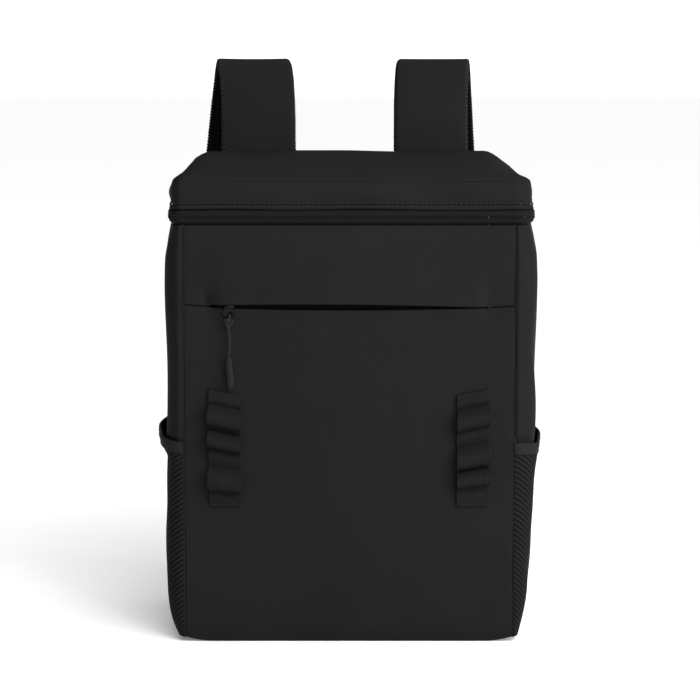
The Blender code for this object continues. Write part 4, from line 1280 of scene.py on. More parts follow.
def build_welts():
    """The welt in each front seam, puckered by its stitches."""
    sizes = bpy.context.scene.bag_body
    height = np.linspace(COVER_FOOT + CORNER_RISE, BODY_HEIGHT, 160)
    for index, kind in enumerate(KINDS):
        seam = SIGN[kind] * SEAM_WIDTH / 2 + SEAM_SHIFT
        lean = 0.0003 * ripples(height, 0 * height, 21 + index, 0.05)
        front = FRONT_Y + body_draw(height)[2]
        path = np.column_stack([seam + lean, front + 0.0020, height])
        pucker = 1 + 0.05 * np.sin(2 * math.pi * height / 0.0042 + 2 * np.sin(height * 90))
        grid = tube_grid(path, sizes.welt / 2 * pucker, 14)
        dress(closed_tube(f"seam_welt_{kind}", grid), "welt", "piping", f"piping_{kind}")


def build_pockets():
    """The mesh of each side pocket, and the binding round its mouth."""
    foot = COVER_FOOT
    mesh_top = POCKET_HEIGHT - BINDING_HEIGHT - GAP
    station = side_stations(0.0032)[None, :]
    for index, kind in enumerate(KINDS):
        low = side_foot(station)
        height = low + (mesh_top + mouth_rise(kind, station) - low) * np.linspace(0, 1, 60)[:, None]
        slack = 0.0006 * ripples(station * 0.012, height, 41 + index, 0.05)
        slack = slack * np.sin(math.pi * station / SIDE_END) * smoothstep((height - foot) / 0.02)
        depth = -flare(kind, station, height) + slack - fullness(kind, station, height)
        outer = side_surface(kind, station, height, depth)
        inner = side_surface(kind, station, height, depth + MESH_THICKNESS)
        piece = wall(f"pocket_net_{kind}", outer, inner)
        dress(piece, "pocket_mesh", "pocket_mesh", f"side_pocket_{kind}")

        # The binding is folded over the mouth: a soft roll at its top, thin at its sewn edge
        levels = np.linspace(0, math.pi, 9)
        proud = (BINDING_THICKNESS - MESH_THICKNESS) / 2
        profile = [(-proud * 0.55, 0.0), (-proud, 0.12), (-proud * 0.8, 0.45), (-proud, 0.75)]
        middle_depth = MESH_THICKNESS / 2
        radius = BINDING_THICKNESS / 2
        profile += [
            (middle_depth - radius * math.cos(a), 0.86 + 0.14 * math.sin(a)) for a in levels
        ]
        inside = MESH_THICKNESS + proud
        profile += [(inside, 0.75), (inside * 0.93, 0.45), (inside, 0.12), (inside * 0.85, 0.0)]
        rows = []
        for depth_here, up in profile:
            level = mesh_top + GAP + 0.92 * BINDING_HEIGHT * up + mouth_rise(kind, station)
            here = -flare(kind, station, level) + depth_here - fullness(kind, station, level)
            rows.append(side_surface(kind, station, level, here)[0])
        piece = closed_tube(f"pocket_edge_{kind}", np.stack(rows, axis=1))
        dress(piece, "binding", "binding", f"pocket_binding_{kind}")


def ring_grid(rows, part, step=0.0022):
    """Rows of points round the outline, from levels and how far each draws in."""
    made = []
    plan, inward = outline(LID_DRAW, part, step)
    for level, draw in rows:
        points = plan + inward * np.reshape(draw - LID_DRAW, (-1, 1))
        level = np.broadcast_to(level, (len(points),))
        made.append(np.column_stack([points, level]))
    return np.stack(made)


def build_lid_zip():
    """The two bands of the lid's zip, their teeth, and the cloth hinge at the back."""
    sizes = bpy.context.scene.bag_zip
    levels = np.linspace(BODY_HEIGHT + GAP, TAPE_TOP, 16)
    tall = levels[-1] - levels[0]
    share = (levels - levels[0]) / tall
    visible = (HEM_TOP - HEM_HANG - 2 * HEM_HALF - levels[0]) / tall
    bulge = sizes.tape_bulge * np.sin(math.pi * np.clip(share / visible, 0, 1)) ** 0.8
    groove = HEM_GROOVE * smoothstep((share - visible + 0.16) / 0.16)
    draw = ZIP_TUCK - bulge + groove + (RIM_DRAW - ZIP_TUCK) * (1 - smoothstep(share / 0.16))
    rows = list(zip(levels, draw))
    middle_draw = float(np.interp(COIL_LEVEL, levels, draw))
    low = [row for row in rows if row[0] < COIL_LEVEL - 2 * COIL_PART]
    high = [row for row in rows if row[0] > COIL_LEVEL + 2 * COIL_PART]
    low.append((COIL_LEVEL - COIL_PART, middle_draw))
    high.insert(0, (COIL_LEVEL + COIL_PART, middle_draw))

    def band(name, rows, part):
        outer = ring_grid(rows, part)
        inner = ring_grid([(level, here + ZIP_THICKNESS) for level, here in rows], part)
        return wall(name, outer, inner)

    dress(band("zip_band_lower", low, "zip"), "zip_tape", "zip_tape", "zip_tape_lower")
    dress(band("zip_band_upper", high, "zip"), "zip_tape", "zip_tape", "zip_tape_upper")
    plan, inward = outline(middle_draw, "zip", 0.0011)
    out = np.column_stack([-inward, np.zeros(len(plan))])
    lines = []
    for index, side in enumerate((-1, 1)):
        level = np.full(len(plan), COIL_LEVEL + side * sizes.tooth_height / 4)
        line = np.column_stack([plan, level]) + out * 0.0002
        lines.append((line[index:], out[index:]))
    size = (sizes.tooth_pitch * 0.66, sizes.tooth_height * 0.50, 0.0011)
    row_of_parts("zip_teeth", lines, sizes.tooth_pitch, size, "teeth", "zip_coil", "zip_coil")
    dress(band("lid_hinge_cloth", rows, "hinge"), "cloth", "coated_fabric", "lid_hinge")


def lid_height(x, y):
    """Height of the lid's top: crowned towards the back, with a small ear at each front corner."""
    half = BODY_WIDTH / 2 - LID_DRAW
    from_left = 1 - (1 - np.clip((half + x - 0.006) / 0.024, 0.0, 1.0)) ** 1.7
    from_right = smoothstep((half - x - 0.005) / 0.032)
    from_front = smoothstep((y - FRONT_Y) / (1.05 * BODY_DEPTH)) * 0.85
    from_front = from_front + 0.3 * smoothstep((y - FRONT_Y) / (0.2 * BODY_DEPTH))
    from_back = smoothstep((BACK_Y - y) / (0.12 * BODY_DEPTH))
    dome = 1.10 * LID_DOME * from_left * from_right * from_front * from_back
    ears = 0
    for kind in KINDS:
        corner_x = SIGN[kind] * (BODY_WIDTH / 2 - EAR_RADIUS / 2)
        away = np.hypot(x - corner_x, y - FRONT_Y - EAR_RADIUS / 2)
        ears = ears + 0.2 * EAR_RISE * np.exp(-((away / EAR_RADIUS) ** 2))
    return FOLD + dome + ears - lid_sag(x, y)


def lid_sag(x, y):
    """How far the lid's edge sinks along its sides, behind its front corners."""
    near = smoothstep((np.abs(x) - 0.130) / 0.012)
    return 0.0088 * near * np.clip((y - FRONT_Y - 0.004) / 0.150, 0.0, 1.0)


def fold_waver(x, y):
    """How the fold between the band and the cushion wanders up and down."""
    return 0.0006 * ripples(x, y, 71, 0.13)


def build_lid():
    """The hem, the band under the fold and the crowned cushion of the lid."""
    plan, _ = outline(LID_DRAW, "whole")
    share = np.clip((plan[:, 0] - SEAM_SHIFT) / (SEAM_WIDTH / 2), -1, 1)
    at_front = smoothstep((-0.06 - plan[:, 1]) / 0.02)
    waver = 0.001 * read_rows(HEM_LINE, share, 1) * at_front

    turns = np.linspace(-math.pi / 2, math.pi / 2, 9)
    middle = HEM_TOP - HEM_HANG - HEM_HALF
    edge_draw = HEM_DRAW + HEM_TUCK
    rows = []
    for up in np.sin(turns):
        level = middle + HEM_HALF * up + waver * (1 - 0.5 * (1 + up))
        round_edge = 0.0005 * (1 - math.sqrt(max(0.0, 1 - up * up)))
        rows.append((level, edge_draw + round_edge + 0.0010 * smoothstep(0.5 + 0.6 * up)))
    outer = ring_grid(rows, "whole")
    inner = ring_grid(
        [(level, np.maximum(edge_draw + 0.0013, draw + 0.0002)) for level, draw in rows], "whole")
    piece = dress(wall("lid_hem_roll", outer, inner, closed=True), "cloth", "coated_fabric", "lid_hem")

    chance = 0.0010 * ripples(plan[:, 0], plan[:, 1], 51, 0.08)
    rows = []
    foot, top = HEM_TOP - HEM_HANG + 0.0001, BAND_TOP
    sag = lid_sag(plan[:, 0], plan[:, 1]) + fold_waver(plan[:, 0], plan[:, 1])
    band_draw = LID_DRAW + LID_TUCK
    for part in spaced(top - foot, 0.0014, 0.0012, fine=4):
        level = foot + (top - foot - sag) * part
        bow = math.sin(math.pi * part)
        draw = band_draw - 0.0011 * bow - 0.0007 * (1 - part) + chance * bow
        draw = draw + rolled((1 - part) * (top - foot), 0.0003) + rolled(part * (top - foot), 0.0006)
        rows.append((level, draw))
    outer = ring_grid(rows, "whole")
    inner = ring_grid(
        [(level, np.maximum(band_draw + WALL, draw + THIN_WALL)) for level, draw in rows], "whole")
    piece = dress(wall("lid_band_pad", outer, inner, closed=True), "cloth", "coated_fabric", "lid_band")

    # The cushion is made of rings, from its lower face round its rolled edge to its crown
    plan, _ = outline(band_draw, "whole")
    sag = lid_sag(plan[:, 0], plan[:, 1]) + fold_waver(plan[:, 0], plan[:, 1])
    foot = BAND_TOP + CUSHION_LIFT
    rings = []
    for ring_share in (0.25, 0.5, 0.75):
        points = plan * ring_share
        level = np.maximum(foot - sag, lid_height(points[:, 0], points[:, 1]) - LID_PADDING)
        rings.append(np.column_stack([points, level]))
    for ring_share in (0.92, 1 - 0.0003 / PLAN_REACH):
        rings.append(np.column_stack([plan * ring_share, foot - sag]))
    for turn in np.linspace(0.0, math.pi / 2, 9):
        inset = CUSHION_ROLL * (1 - math.cos(turn))
        points = plan * (1 - inset / PLAN_REACH)
        top = lid_height(points[:, 0], points[:, 1])
        level = foot - sag + (top - foot + sag) * math.sin(turn)
        rings.append(np.column_stack([points, level]))
    for inset in np.linspace(0.0060, 0.118, 48):
        points = plan * (1 - inset / PLAN_REACH)
        soft = 0.0006 * ripples(points[:, 0], points[:, 1], 61, 0.09) * smoothstep(inset / 0.02)
        level = lid_height(points[:, 0], points[:, 1]) + soft
        rings.append(np.column_stack([points, level]))
    piece = closed_tube("lid_cushion", np.stack(rings))
    dress(piece, "cloth", "coated_fabric", "lid_top")


def strap_path(kind, steps=10):
    """Points down the middle of one shoulder strap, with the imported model's own at 2 steps."""
    foot_reach = PAD_THICKNESS + GAP
    across = SIGN[kind] * STRAP_SPACING / 2 + STRAP_SHIFT
    stops = [
        (
            across + SIGN[kind] * SPLAY[kind] * turn,
            BACK_Y + foot_reach + (STRAP_REACH - foot_reach) * reach,
            STRAP_TOP * height,
        )
        for reach, height, turn in STRAP_ROWS
    ]
    return smooth_path(stops, steps)


def path_frames(path):
    """The side and outward directions along a strap's path."""
    run = np.gradient(path, axis=0)
    run /= np.linalg.norm(run, axis=1)[:, None]
    across = np.array((1.0, 0.0, 0.0))
    side = across - run * (run @ across)[:, None]
    side /= np.linalg.norm(side, axis=1)[:, None]
    return side, np.cross(side, run)


def swept(name, path, side, out, profile):
    """A closed piece whose profile is carried along a path."""
    profile = np.asarray(profile)
    if profile.ndim == 2:
        profile = np.broadcast_to(profile, (len(path), *profile.shape))
    grid = path[:, None, :] + profile[..., :1] * side[:, None, :] + profile[..., 1:] * out[:, None, :]
    return closed_tube(name, grid)


def pad_profile(width, low, high, roll, count=22):
    """A flat pad's section: rolled edges, and a top that is drawn in a little at the seam."""
    half = width / 2
    across = half - spaced(width, width / count, roll, fine=5) * width
    edge = half - np.abs(across)
    top = high - rolled(edge, roll) * (high - low) * 0.45 / roll
    bottom = low + rolled(edge, roll) * (high - low) * 0.45 / roll
    upper = np.column_stack([across, top])
    lower = np.column_stack([across[::-1], bottom[::-1]])
    return np.concatenate([upper, lower])


def build_straps():
    """The padded shoulder straps, with air mesh on their inner side."""
    for kind in KINDS:
        path = strap_path(kind)
        side, out = path_frames(path)
        profile = pad_profile(STRAP_WIDTH, GAP / 2, PAD_THICKNESS, PAD_ROLL)
        piece = swept(f"strap_cushion_{kind}", path, side, out, profile)
        dress(piece, "cloth", "coated_fabric", f"strap_pad_{kind}")
        profile = pad_profile(LINING_WIDTH, -GAP / 2 - LINING_THICKNESS, -GAP / 2, LINING_ROLL)
        piece = swept(f"strap_air_mesh_{kind}", path, side, out, profile)
        dress(piece, "air_mesh", "air_mesh", f"strap_lining_{kind}")


def webbing_line(kind):
    """Share down the webbing, and how far it stands off the panel there."""
    stops = [(0.0, 0.0), (0.03, 0.02)]
    last = 0.03
    for start, end in LOOPS[kind]:
        stops.append(((start + last) / 2, min(0.22, 2.4 * (start - last))))
        stops += [(start + (end - start) * along, reach) for along, reach in LOOP_ROWS]
        last = end
    return np.array([*stops, (0.92, 0.10), (0.955, 0.0), (1.0, 0.0)])


def webbing_middle(kind):
    """Place of one webbing's middle across the front."""
    return SIGN[kind] * (SEAM_WIDTH / 2 - WEBBING_INSET) + SEAM_SHIFT


def build_front_webbing():
    """The two ribbed strips of webbing, each with three drooping loops."""
    sizes = bpy.context.scene.bag_webbing
    for kind in KINDS:
        middle = webbing_middle(kind)
        line = smooth_path(webbing_line(kind) * (WEBBING_HEIGHT, LOOP_REACH), 8)
        line = resampled(line, 0.0007)
        share = np.linspace(-1, 1, sizes.ribs * 6 + 1)
        ridge = np.abs(np.sin(math.pi * (share + 1) / 2 * sizes.ribs)) ** 0.7
        run = np.gradient(line, axis=0)
        run /= np.linalg.norm(run, axis=1)[:, None]
        down, reach = line[:, 0], line[:, 1]
        slant = -SIGN[kind] * sizes.slant * WEBBING_HEIGHT
        swell = 1 + 0.10 * (reach[:, None] / LOOP_REACH) * (SIGN[kind] * share[None, :] > 0)
        x = middle + share[None, :] * swell * WEBBING_WIDTH / 2
        part = down[:, None] / WEBBING_HEIGHT
        tilt = slant * share[None, :] * (
            0.7 * (1 - part) + 0.5 * np.sin(math.pi * np.clip(part, 0, 1)))
        z = WEBBING_FOOT + WEBBING_RISE + (WEBBING_HEIGHT - down[:, None]) * 0.988 - tilt
        back = front_surface(x, z) - GAP - reach[:, None]
        # The outer face follows the line's own normal, so that the loops keep their thickness
        thick = WEBBING_THICKNESS - sizes.rib_height * (1 - ridge[None, :])
        tall = -run[:, 1:] * thick
        out = run[:, :1] * thick
        outer = np.stack([x + 0 * z, back - out, z - tall], axis=-1)
        inner = np.stack([x + 0 * z, back, z], axis=-1)
        piece = wall(f"webbing_ladder_{kind}", outer[::-1], inner[::-1], sharp=60)
        dress(piece, "webbing", "webbing", f"front_webbing_{kind}")


def build_slit_teeth():
    """The coil that shows in the slit, nearer the mouth at its left end."""
    half = SEAM_WIDTH / 2 - SEAM_GAP
    across = np.linspace(SEAM_SHIFT - 0.80 * half, SEAM_SHIFT + 0.80 * half, 200)
    deep = 0.0036 - 0.0018 * np.exp(-(((across - SEAM_SHIFT + SLIT_LENGTH / 2) / 0.02) ** 2))
    level = slit_level(across)
    lines = []
    for side in (-1, 1):
        line = np.column_stack([across, front_crown(across, level) + deep, level + side * 0.0007])
        lines.append((line, FRONT_OUT))
    row_of_parts(
        "slit_teeth", lines, 0.0012, (0.0008, 0.0013, 0.0010), "teeth", "zip_coil", "front_zip_coil")


def ring_plate(name, outer, hole, back_y, thickness, bevel, lean):
    """A plate with a hole and bevelled edges, facing the front and leaning back to its foot."""
    middle = outer.mean(axis=0)
    inset = middle + (outer - middle) * (1 - bevel / np.linalg.norm(outer - middle, axis=1))[:, None]
    wide = hole + (hole - hole.mean(axis=0)) * 0.18
    face = back_y - thickness
    rows = [(hole, back_y - bevel), (wide, back_y), (inset, back_y), (outer, back_y - bevel),
            (outer, face + bevel), (inset, face), (wide, face), (hole, face + bevel),
            (hole, back_y - bevel)]
    grid = np.stack([
        np.column_stack([plan[:, 0], y + lean * (outer[:, 1].max() - plan[:, 1]), plan[:, 1]])
        for plan, y in rows])
    faces, flat = sheet_faces(len(rows), len(outer), True)
    faces = faces % ((len(rows) - 1) * len(outer))
    lengths = cloth_lengths(grid, True)
    return mesh_object(name, grid[:-1].reshape(-1, 3), faces, lengths[flat].reshape(-1, 2), 40)


def build_pull():
    """The slider, its pear-shaped tab, and the knotted cord with its grip."""
    stand = np.linspace(SLIT_HEIGHT - TAB_HEIGHT, SLIT_HEIGHT, 12)
    cloth = front_surface(np.full(12, PULL_ACROSS), stand + SLIT_RISE - 0.0004)
    face = float(cloth.min())
    lean = float(cloth[0] - face) / TAB_HEIGHT * 0.6
    turns = np.linspace(0, 2 * math.pi, 49)[:-1]
    level = SLIT_HEIGHT + SLIT_RISE
    top = level + 0.0012
    middle = np.array([PULL_ACROSS - 0.0004, top - TAB_HEIGHT / 2])
    up = np.sin(turns)
    wide = 0.52 + 0.48 * smoothstep((0.85 - up) / 1.3)
    outer = middle + np.column_stack([
        TAB_WIDTH / 2 * np.cos(turns) * wide, TAB_HEIGHT / 2 * up * (1 - 0.04 * np.cos(turns))])
    hole_at = middle + (0.14 * TAB_WIDTH, -0.20 * TAB_HEIGHT)
    hole = hole_at + 0.00185 * np.column_stack([np.cos(turns), np.sin(turns)])
    back = face - GAP
    tab = ring_plate("pull_tab", outer, hole, back, TAB_THICKNESS, 0.00045, lean)
    dress(tab, "painted", "painted_zip", "zip_pull_tab")

    # The slider's body and the bridge that holds the tab
    length = (-0.0042, -0.0034, 0.0, 0.0034, 0.0042)
    body = tube_grid(
        [(PULL_ACROSS + along, face + 0.0014, level) for along in length],
        (0.0008, 0.0015, 0.0018, 0.0015, 0.0008), 16)
    slider = closed_tube("slit_slider", body)
    dress(slider, "painted", "painted_zip", "front_zip_slider")
    bridge_turn = np.linspace(0.15, math.pi - 0.15, 13)
    bridge = np.column_stack([
        np.full(13, PULL_ACROSS - 0.0004), face - 0.0016 * np.sin(bridge_turn),
        level + 0.0006 + 0.0021 * np.cos(bridge_turn)])
    loop = closed_tube("slider_bridge", tube_grid(bridge, 0.00055, 10))
    dress(loop, "painted", "painted_zip")

    # The knot is one turn of the cord through itself
    knot_at = np.array([hole_at[0] - 0.10 * TAB_WIDTH, face - GAP - KNOT_WIDTH / 2 + 0.0002,
                        top - TAB_HEIGHT - GAP - KNOT_HEIGHT / 2 + 0.0006])
    t = np.linspace(0, 2 * math.pi, 81)
    trefoil = np.column_stack([
        (np.sin(t) + 2 * np.sin(2 * t)) / 2.6 * 0.0026,
        -np.sin(3 * t) * 0.0010,
        (np.cos(t) - 2 * np.cos(2 * t)) / 2.6 * 0.0026])
    radius = CORD_DIAMETER / 2 * 1.16
    knot = closed_tube("pull_knot_turns", tube_grid(knot_at + trefoil, radius, 12))
    dress(knot, "cord", "webbing", "pull_knot")

    hang = knot_at[2] - KNOT_HEIGHT / 2 - GAP
    stops = [
        (hole_at[0], back - TAB_THICKNESS / 2, hole_at[1] - 0.0006),
        (hole_at[0] - 0.0003, back - TAB_THICKNESS - 0.0009, hole_at[1] - 0.0022),
        (knot_at[0] + 0.0002, knot_at[1], knot_at[2] + 0.0012),
    ]
    for aside, drop in ((0.0, 0.0), (0.0005, 0.25), (0.0008, 0.50), (0.0004, 0.75), (0.0, 1.0)):
        stops.append((knot_at[0] + aside, knot_at[1], hang - drop * CORD_DROP))
    stops.append((knot_at[0] + 0.0001, knot_at[1], hang - CORD_DROP - 0.0040))
    route = smooth_path(stops, 4)
    length = float(np.linalg.norm(np.diff(route, axis=0), axis=1).sum())
    cord = closed_tube(
        "pull_cord_line", tube_grid(smooth_path(stops, 10), CORD_DIAMETER / 2 * 1.1, 12))
    dress(cord, "cord", "webbing", "pull_cord")

    along = np.linspace(0, 1, 26)
    width = read_rows(GRIP_ROWS, along, 1)
    width = np.where(along < 0.03, width * (0.80 + 0.20 * along / 0.03), width)
    down = hang - CORD_DROP - GAP - GRIP_LENGTH * along
    bend = 0.0016 * smoothstep(along / 0.6) * along
    path = np.column_stack([knot_at[0] + bend, np.full(26, knot_at[1]), down])
    grip = closed_tube(
        "pull_grip_moulding",
        tube_grid(path, GRIP_WIDTH / 2 * width, 16, flat=GRIP_DEPTH / GRIP_WIDTH))
    dress(grip, "plastic", "moulded", "pull_grip")


def front_line(across, level):
    """Points just on the front covers, from places across and heights."""
    across, level = np.broadcast_arrays(np.asarray(across, float), np.asarray(level, float))
    return np.column_stack([across, front_surface(across, level), level])


def tack_line(kind, up, tilt):
    """A line across one webbing at a share of its height, tilted as the loops are."""
    middle = webbing_middle(kind)
    across = middle + np.linspace(-0.0112, 0.0112, 24)
    slant = -SIGN[kind] * bpy.context.scene.bag_webbing.slant * WEBBING_HEIGHT
    drop = slant * (across - middle) / (WEBBING_WIDTH / 2) * tilt
    line = front_line(across, WEBBING_FOOT + WEBBING_RISE + WEBBING_HEIGHT * up - drop)
    line[:, 1] -= GAP + WEBBING_THICKNESS
    return line, FRONT_OUT


def binding_line(kind, up):
    """A line of stitches along one pocket's binding, with its outward directions."""
    station = side_stations(0.003)[None, 2:-2]
    proud = (BINDING_THICKNESS - MESH_THICKNESS) / 2
    level = POCKET_HEIGHT - BINDING_HEIGHT * (1 - 0.92 * up) + mouth_rise(kind, station)
    depth = -flare(kind, station, level) - proud * 1.02 - fullness(kind, station, level)
    line = side_surface(kind, station, level, depth)[0]
    out = line - side_surface(kind, station, level, depth + 0.001)[0]
    return line, out / np.linalg.norm(out, axis=1)[:, None]


def build_stitches():
    """Stitches of the lid's band, the slit's right end, the webbing, the pockets and the straps."""
    sizes = bpy.context.scene.bag_stitching
    plan, inward = outline(LID_DRAW + LID_TUCK - 0.0008, "whole", 0.003)
    start = -int(np.argmax(plan[:, 1]))
    plan, inward = np.roll(plan, start, axis=0), np.roll(inward, start, axis=0)
    share = np.clip((plan[:, 0] - SEAM_SHIFT) / (SEAM_WIDTH / 2), -1, 1)
    level = HEM_TOP - HEM_HANG + 0.0009 + 0.0003 * read_rows(HEM_LINE, share, 1)
    out = np.column_stack([-inward, np.zeros(len(plan))])
    line = np.column_stack([plan, level]) + out * 0.0001
    row_of_parts(
        "lid_stitches", [(line, out)], sizes.pitch, (sizes.length, sizes.thread, sizes.thread * 0.9),
        "thread", "coated_fabric", jitter=0.05, seed=3)

    # A dense bar that holds the slit's right end
    across = SEAM_SHIFT + SLIT_LENGTH / 2 - 0.0012
    level = slit_level(np.array([across]))[0] + np.linspace(-0.0062, 0.0054, 30)
    row_of_parts(
        "slit_bars", [(front_line(across, level), FRONT_OUT)], 0.00055, (0.0006, 0.0030, 0.0007),
        "welt", "coated_fabric", lean=0.12, jitter=0.1, seed=5)

    # Webbing: a dashed row at each end and a zigzag at the foot
    rows = [tack_line(kind, up, 0.7 * up) for kind in KINDS for up in (0.018, 0.972)]
    row_of_parts(
        "webbing_stitches", rows, 0.0030, (0.0022, 0.0006, 0.0005), "thread", "webbing",
        jitter=0.06, seed=7)
    rows = [tack_line(kind, 0.055, 0.12) for kind in KINDS]
    row_of_parts(
        "webbing_zigzag", rows, 0.0016, (0.0036, 0.0006, 0.0006), "thread", "webbing",
        lean=1.1, jitter=0.15, seed=9)
    rows = [binding_line(kind, up) for kind in KINDS for up in (0.22, 0.60)]
    row_of_parts(
        "binding_stitches", rows, 0.0030, (0.0022, 0.0005, 0.0004), "thread", "binding",
        jitter=0.05, seed=11)

    # Overlocked edges of the straps, whose thread wraps pad and mesh together
    faces, edges = [], []
    for kind in KINDS:
        path = strap_path(kind)
        side, out = path_frames(path)
        line = path + side * (SIGN[kind] * (STRAP_WIDTH / 2 - 0.0012)) + out * (0.87 * PAD_THICKNESS)
        faces.append((line, out + side * SIGN[kind] * 0.5))
        wave = 0.0003 * np.sin(np.arange(len(path)) * 0.9)[:, None]
        for hand in (-1, 1):
            line = path + side * (hand * (STRAP_WIDTH / 2 - 0.0002)) + out * (0.0022 + wave)
            edges.append((line, side * hand))
    row_of_parts(
        "strap_whipping", faces, 0.0040, (0.0020, 0.0044, 0.0015), "overlock", "coated_fabric",
        lean=0.7, jitter=0.12, seed=17)
    row_of_parts(
        "strap_overlock", edges, 0.0027, (0.0016, 0.0052, 0.0017), "overlock", "coated_fabric",
        lean=0.5, jitter=0.12, seed=13)


def ribbed_profile(width, thickness, ribs, depth):
    """A webbing's section, with ridges on both faces."""
    share = np.linspace(-1, 1, ribs * 4 + 1)
    ridge = depth * (1 - np.abs(np.sin(math.pi * (share + 1) / 2 * ribs)) ** 0.7)
    upper = np.column_stack([share * width / 2, thickness / 2 - ridge])
    lower = np.column_stack([share[::-1] * width / 2, -thickness / 2 + ridge[::-1]])
    return np.concatenate([upper, lower])


def rounded_bar(start, end, width, depth, out):
    """Rings of a bar with rounded edges between two points."""
    start, end, out = np.asarray(start), np.asarray(end), np.asarray(out)
    run = (end - start) / np.linalg.norm(end - start)
    side = np.cross(run, out)
    turns = np.linspace(0, 2 * math.pi, 17)[:-1]
    shape = np.column_stack([np.cos(turns), np.sin(turns)])
    shape = np.sign(shape) * np.abs(shape) ** 0.5
    reach = np.linalg.norm(end - start)
    rows = []
    for place, scale in ((0.0, 0.72), (0.0006, 1.0), (reach - 0.0006, 1.0), (reach, 0.72)):
        rows.append(
            start + run * place + scale * (
                shape[:, :1] * side * width / 2 + shape[:, 1:] * out * depth / 2))
    return np.stack(rows)


def joined(name, grids):
    """Several closed bars as one piece."""
    made = [closed_tube(f"{name}_{i}", grid) for i, grid in enumerate(grids)]
    work = bmesh.new()
    for part in made:
        work.from_mesh(part.data)
    keep = made[0]
    work.to_mesh(keep.data)
    work.free()
    for part in made[1:]:
        bpy.data.objects.remove(part, do_unlink=True)
    keep.name = name
    keep.data.shade_smooth()
    keep.data.set_sharp_from_angle(angle=math.radians(50))
    return keep


def build_strap_ends():
    """The adjuster at each pad's lower end, the webbing below it and the tab that holds it."""
    sizes = bpy.context.scene.bag_webbing
    for kind in KINDS:
        coarse = strap_path(kind, 2)
        start = coarse[-1]
        run = coarse[-1] - coarse[-2]
        run /= np.linalg.norm(run)
        side, out = path_frames(np.array([start, start + run * 0.01]))
        side, out = side[0], out[0]
        half = side * (ADJUSTER_WIDTH - RAIL_WIDTH) / 2
        near = start + run * (GAP + RAIL_WIDTH / 2)
        far = start + run * (ADJUSTER_LENGTH - RAIL_WIDTH / 2 + GAP)
        bars = [
            rounded_bar(near + rail, far + rail, RAIL_WIDTH, ADJUSTER_THICKNESS, out)
            for rail in (half, -half)]
        for share, wide in ((0.0, 0.0040), (0.45, 0.0046), (1.0, 0.0040)):
            place = near + (far - near) * share
            bars.append(rounded_bar(place - half, place + half, wide, ADJUSTER_THICKNESS * 0.82, out))
        piece = joined(f"ladder_lock_{kind}", bars)
        dress(piece, "plastic", "moulded", f"strap_adjuster_{kind}")

        anchor_face = BACK_Y + GAP + ANCHOR_THICKNESS
        across = SIGN[kind] * ANCHOR_SPACING / 2
        top = start + run * (2 * GAP + ADJUSTER_LENGTH)
        lie = anchor_face + GAP + WEBBING_THICKNESS / 2
        landing = [
            (across, lie + ANCHOR_HEIGHT * away, ANCHOR_FOOT + ANCHOR_HEIGHT * rise)
            for away, rise in LANDING_ROWS]
        line = smooth_path(
            [top - run * 0.0125, top, top + run * WEBBING_WIDTH / 2, *landing], 10)
        side, out = path_frames(line)
        profile = ribbed_profile(WEBBING_WIDTH, WEBBING_THICKNESS, sizes.ribs, sizes.rib_height)
        piece = swept(f"strap_tail_{kind}", line, side, out, profile)
        dress(piece, "webbing", "webbing", f"lower_webbing_{kind}")

        half_width = ANCHOR_WIDTH / 2
        foot, head = ANCHOR_FOOT, ANCHOR_FOOT + ANCHOR_HEIGHT
        line = np.array([
            (across, anchor_face - ANCHOR_THICKNESS / 2, z) for z in np.linspace(foot, head, 24)])
        turned = rolled(np.minimum(line[:, 2] - foot, head - line[:, 2]), 0.0008)
        share = np.linspace(-1, 1, 41)
        edge = rolled((1 - np.abs(share)) * half_width, 0.0009)
        under = np.column_stack([share[::-1] * half_width, np.full(41, -ANCHOR_THICKNESS / 2)])
        profile = []
        for drop in turned:
            face = ANCHOR_THICKNESS / 2 - np.maximum(edge, drop) * 0.9
            profile.append(np.concatenate([np.column_stack([share * half_width, face]), under]))
        side = np.broadcast_to((1.0, 0.0, 0.0), (24, 3))
        out = np.broadcast_to((0.0, 1.0, 0.0), (24, 3))
        piece = swept(f"anchor_tab_{kind}", line, side, out, np.array(profile))
        dress(piece, "cloth", "webbing", f"lower_anchor_{kind}")


def recolour_nodes():
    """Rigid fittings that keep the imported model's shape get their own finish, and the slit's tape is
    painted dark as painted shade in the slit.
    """
    for name, kind in (("zip_slider", "painted"), ("front_zip_tape", "slit_tape")):
        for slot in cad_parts[name].material_slots:
            slot.material = finish_of(kind)


def area_light(name, place, aim, size, power):
    """A softbox that faces a point."""
    light = bpy.data.lights.new(name, "AREA")
    light.shape = "RECTANGLE"
    light.size, light.size_y = size
    light.energy = power
    made = bpy.data.objects.new(name, light)
    made.location = place
    direction = Vector(aim) - Vector(place)
    made.rotation_euler = direction.to_track_quat("-Z", "Y").to_euler()
    bpy.context.scene.collection.objects.link(made)


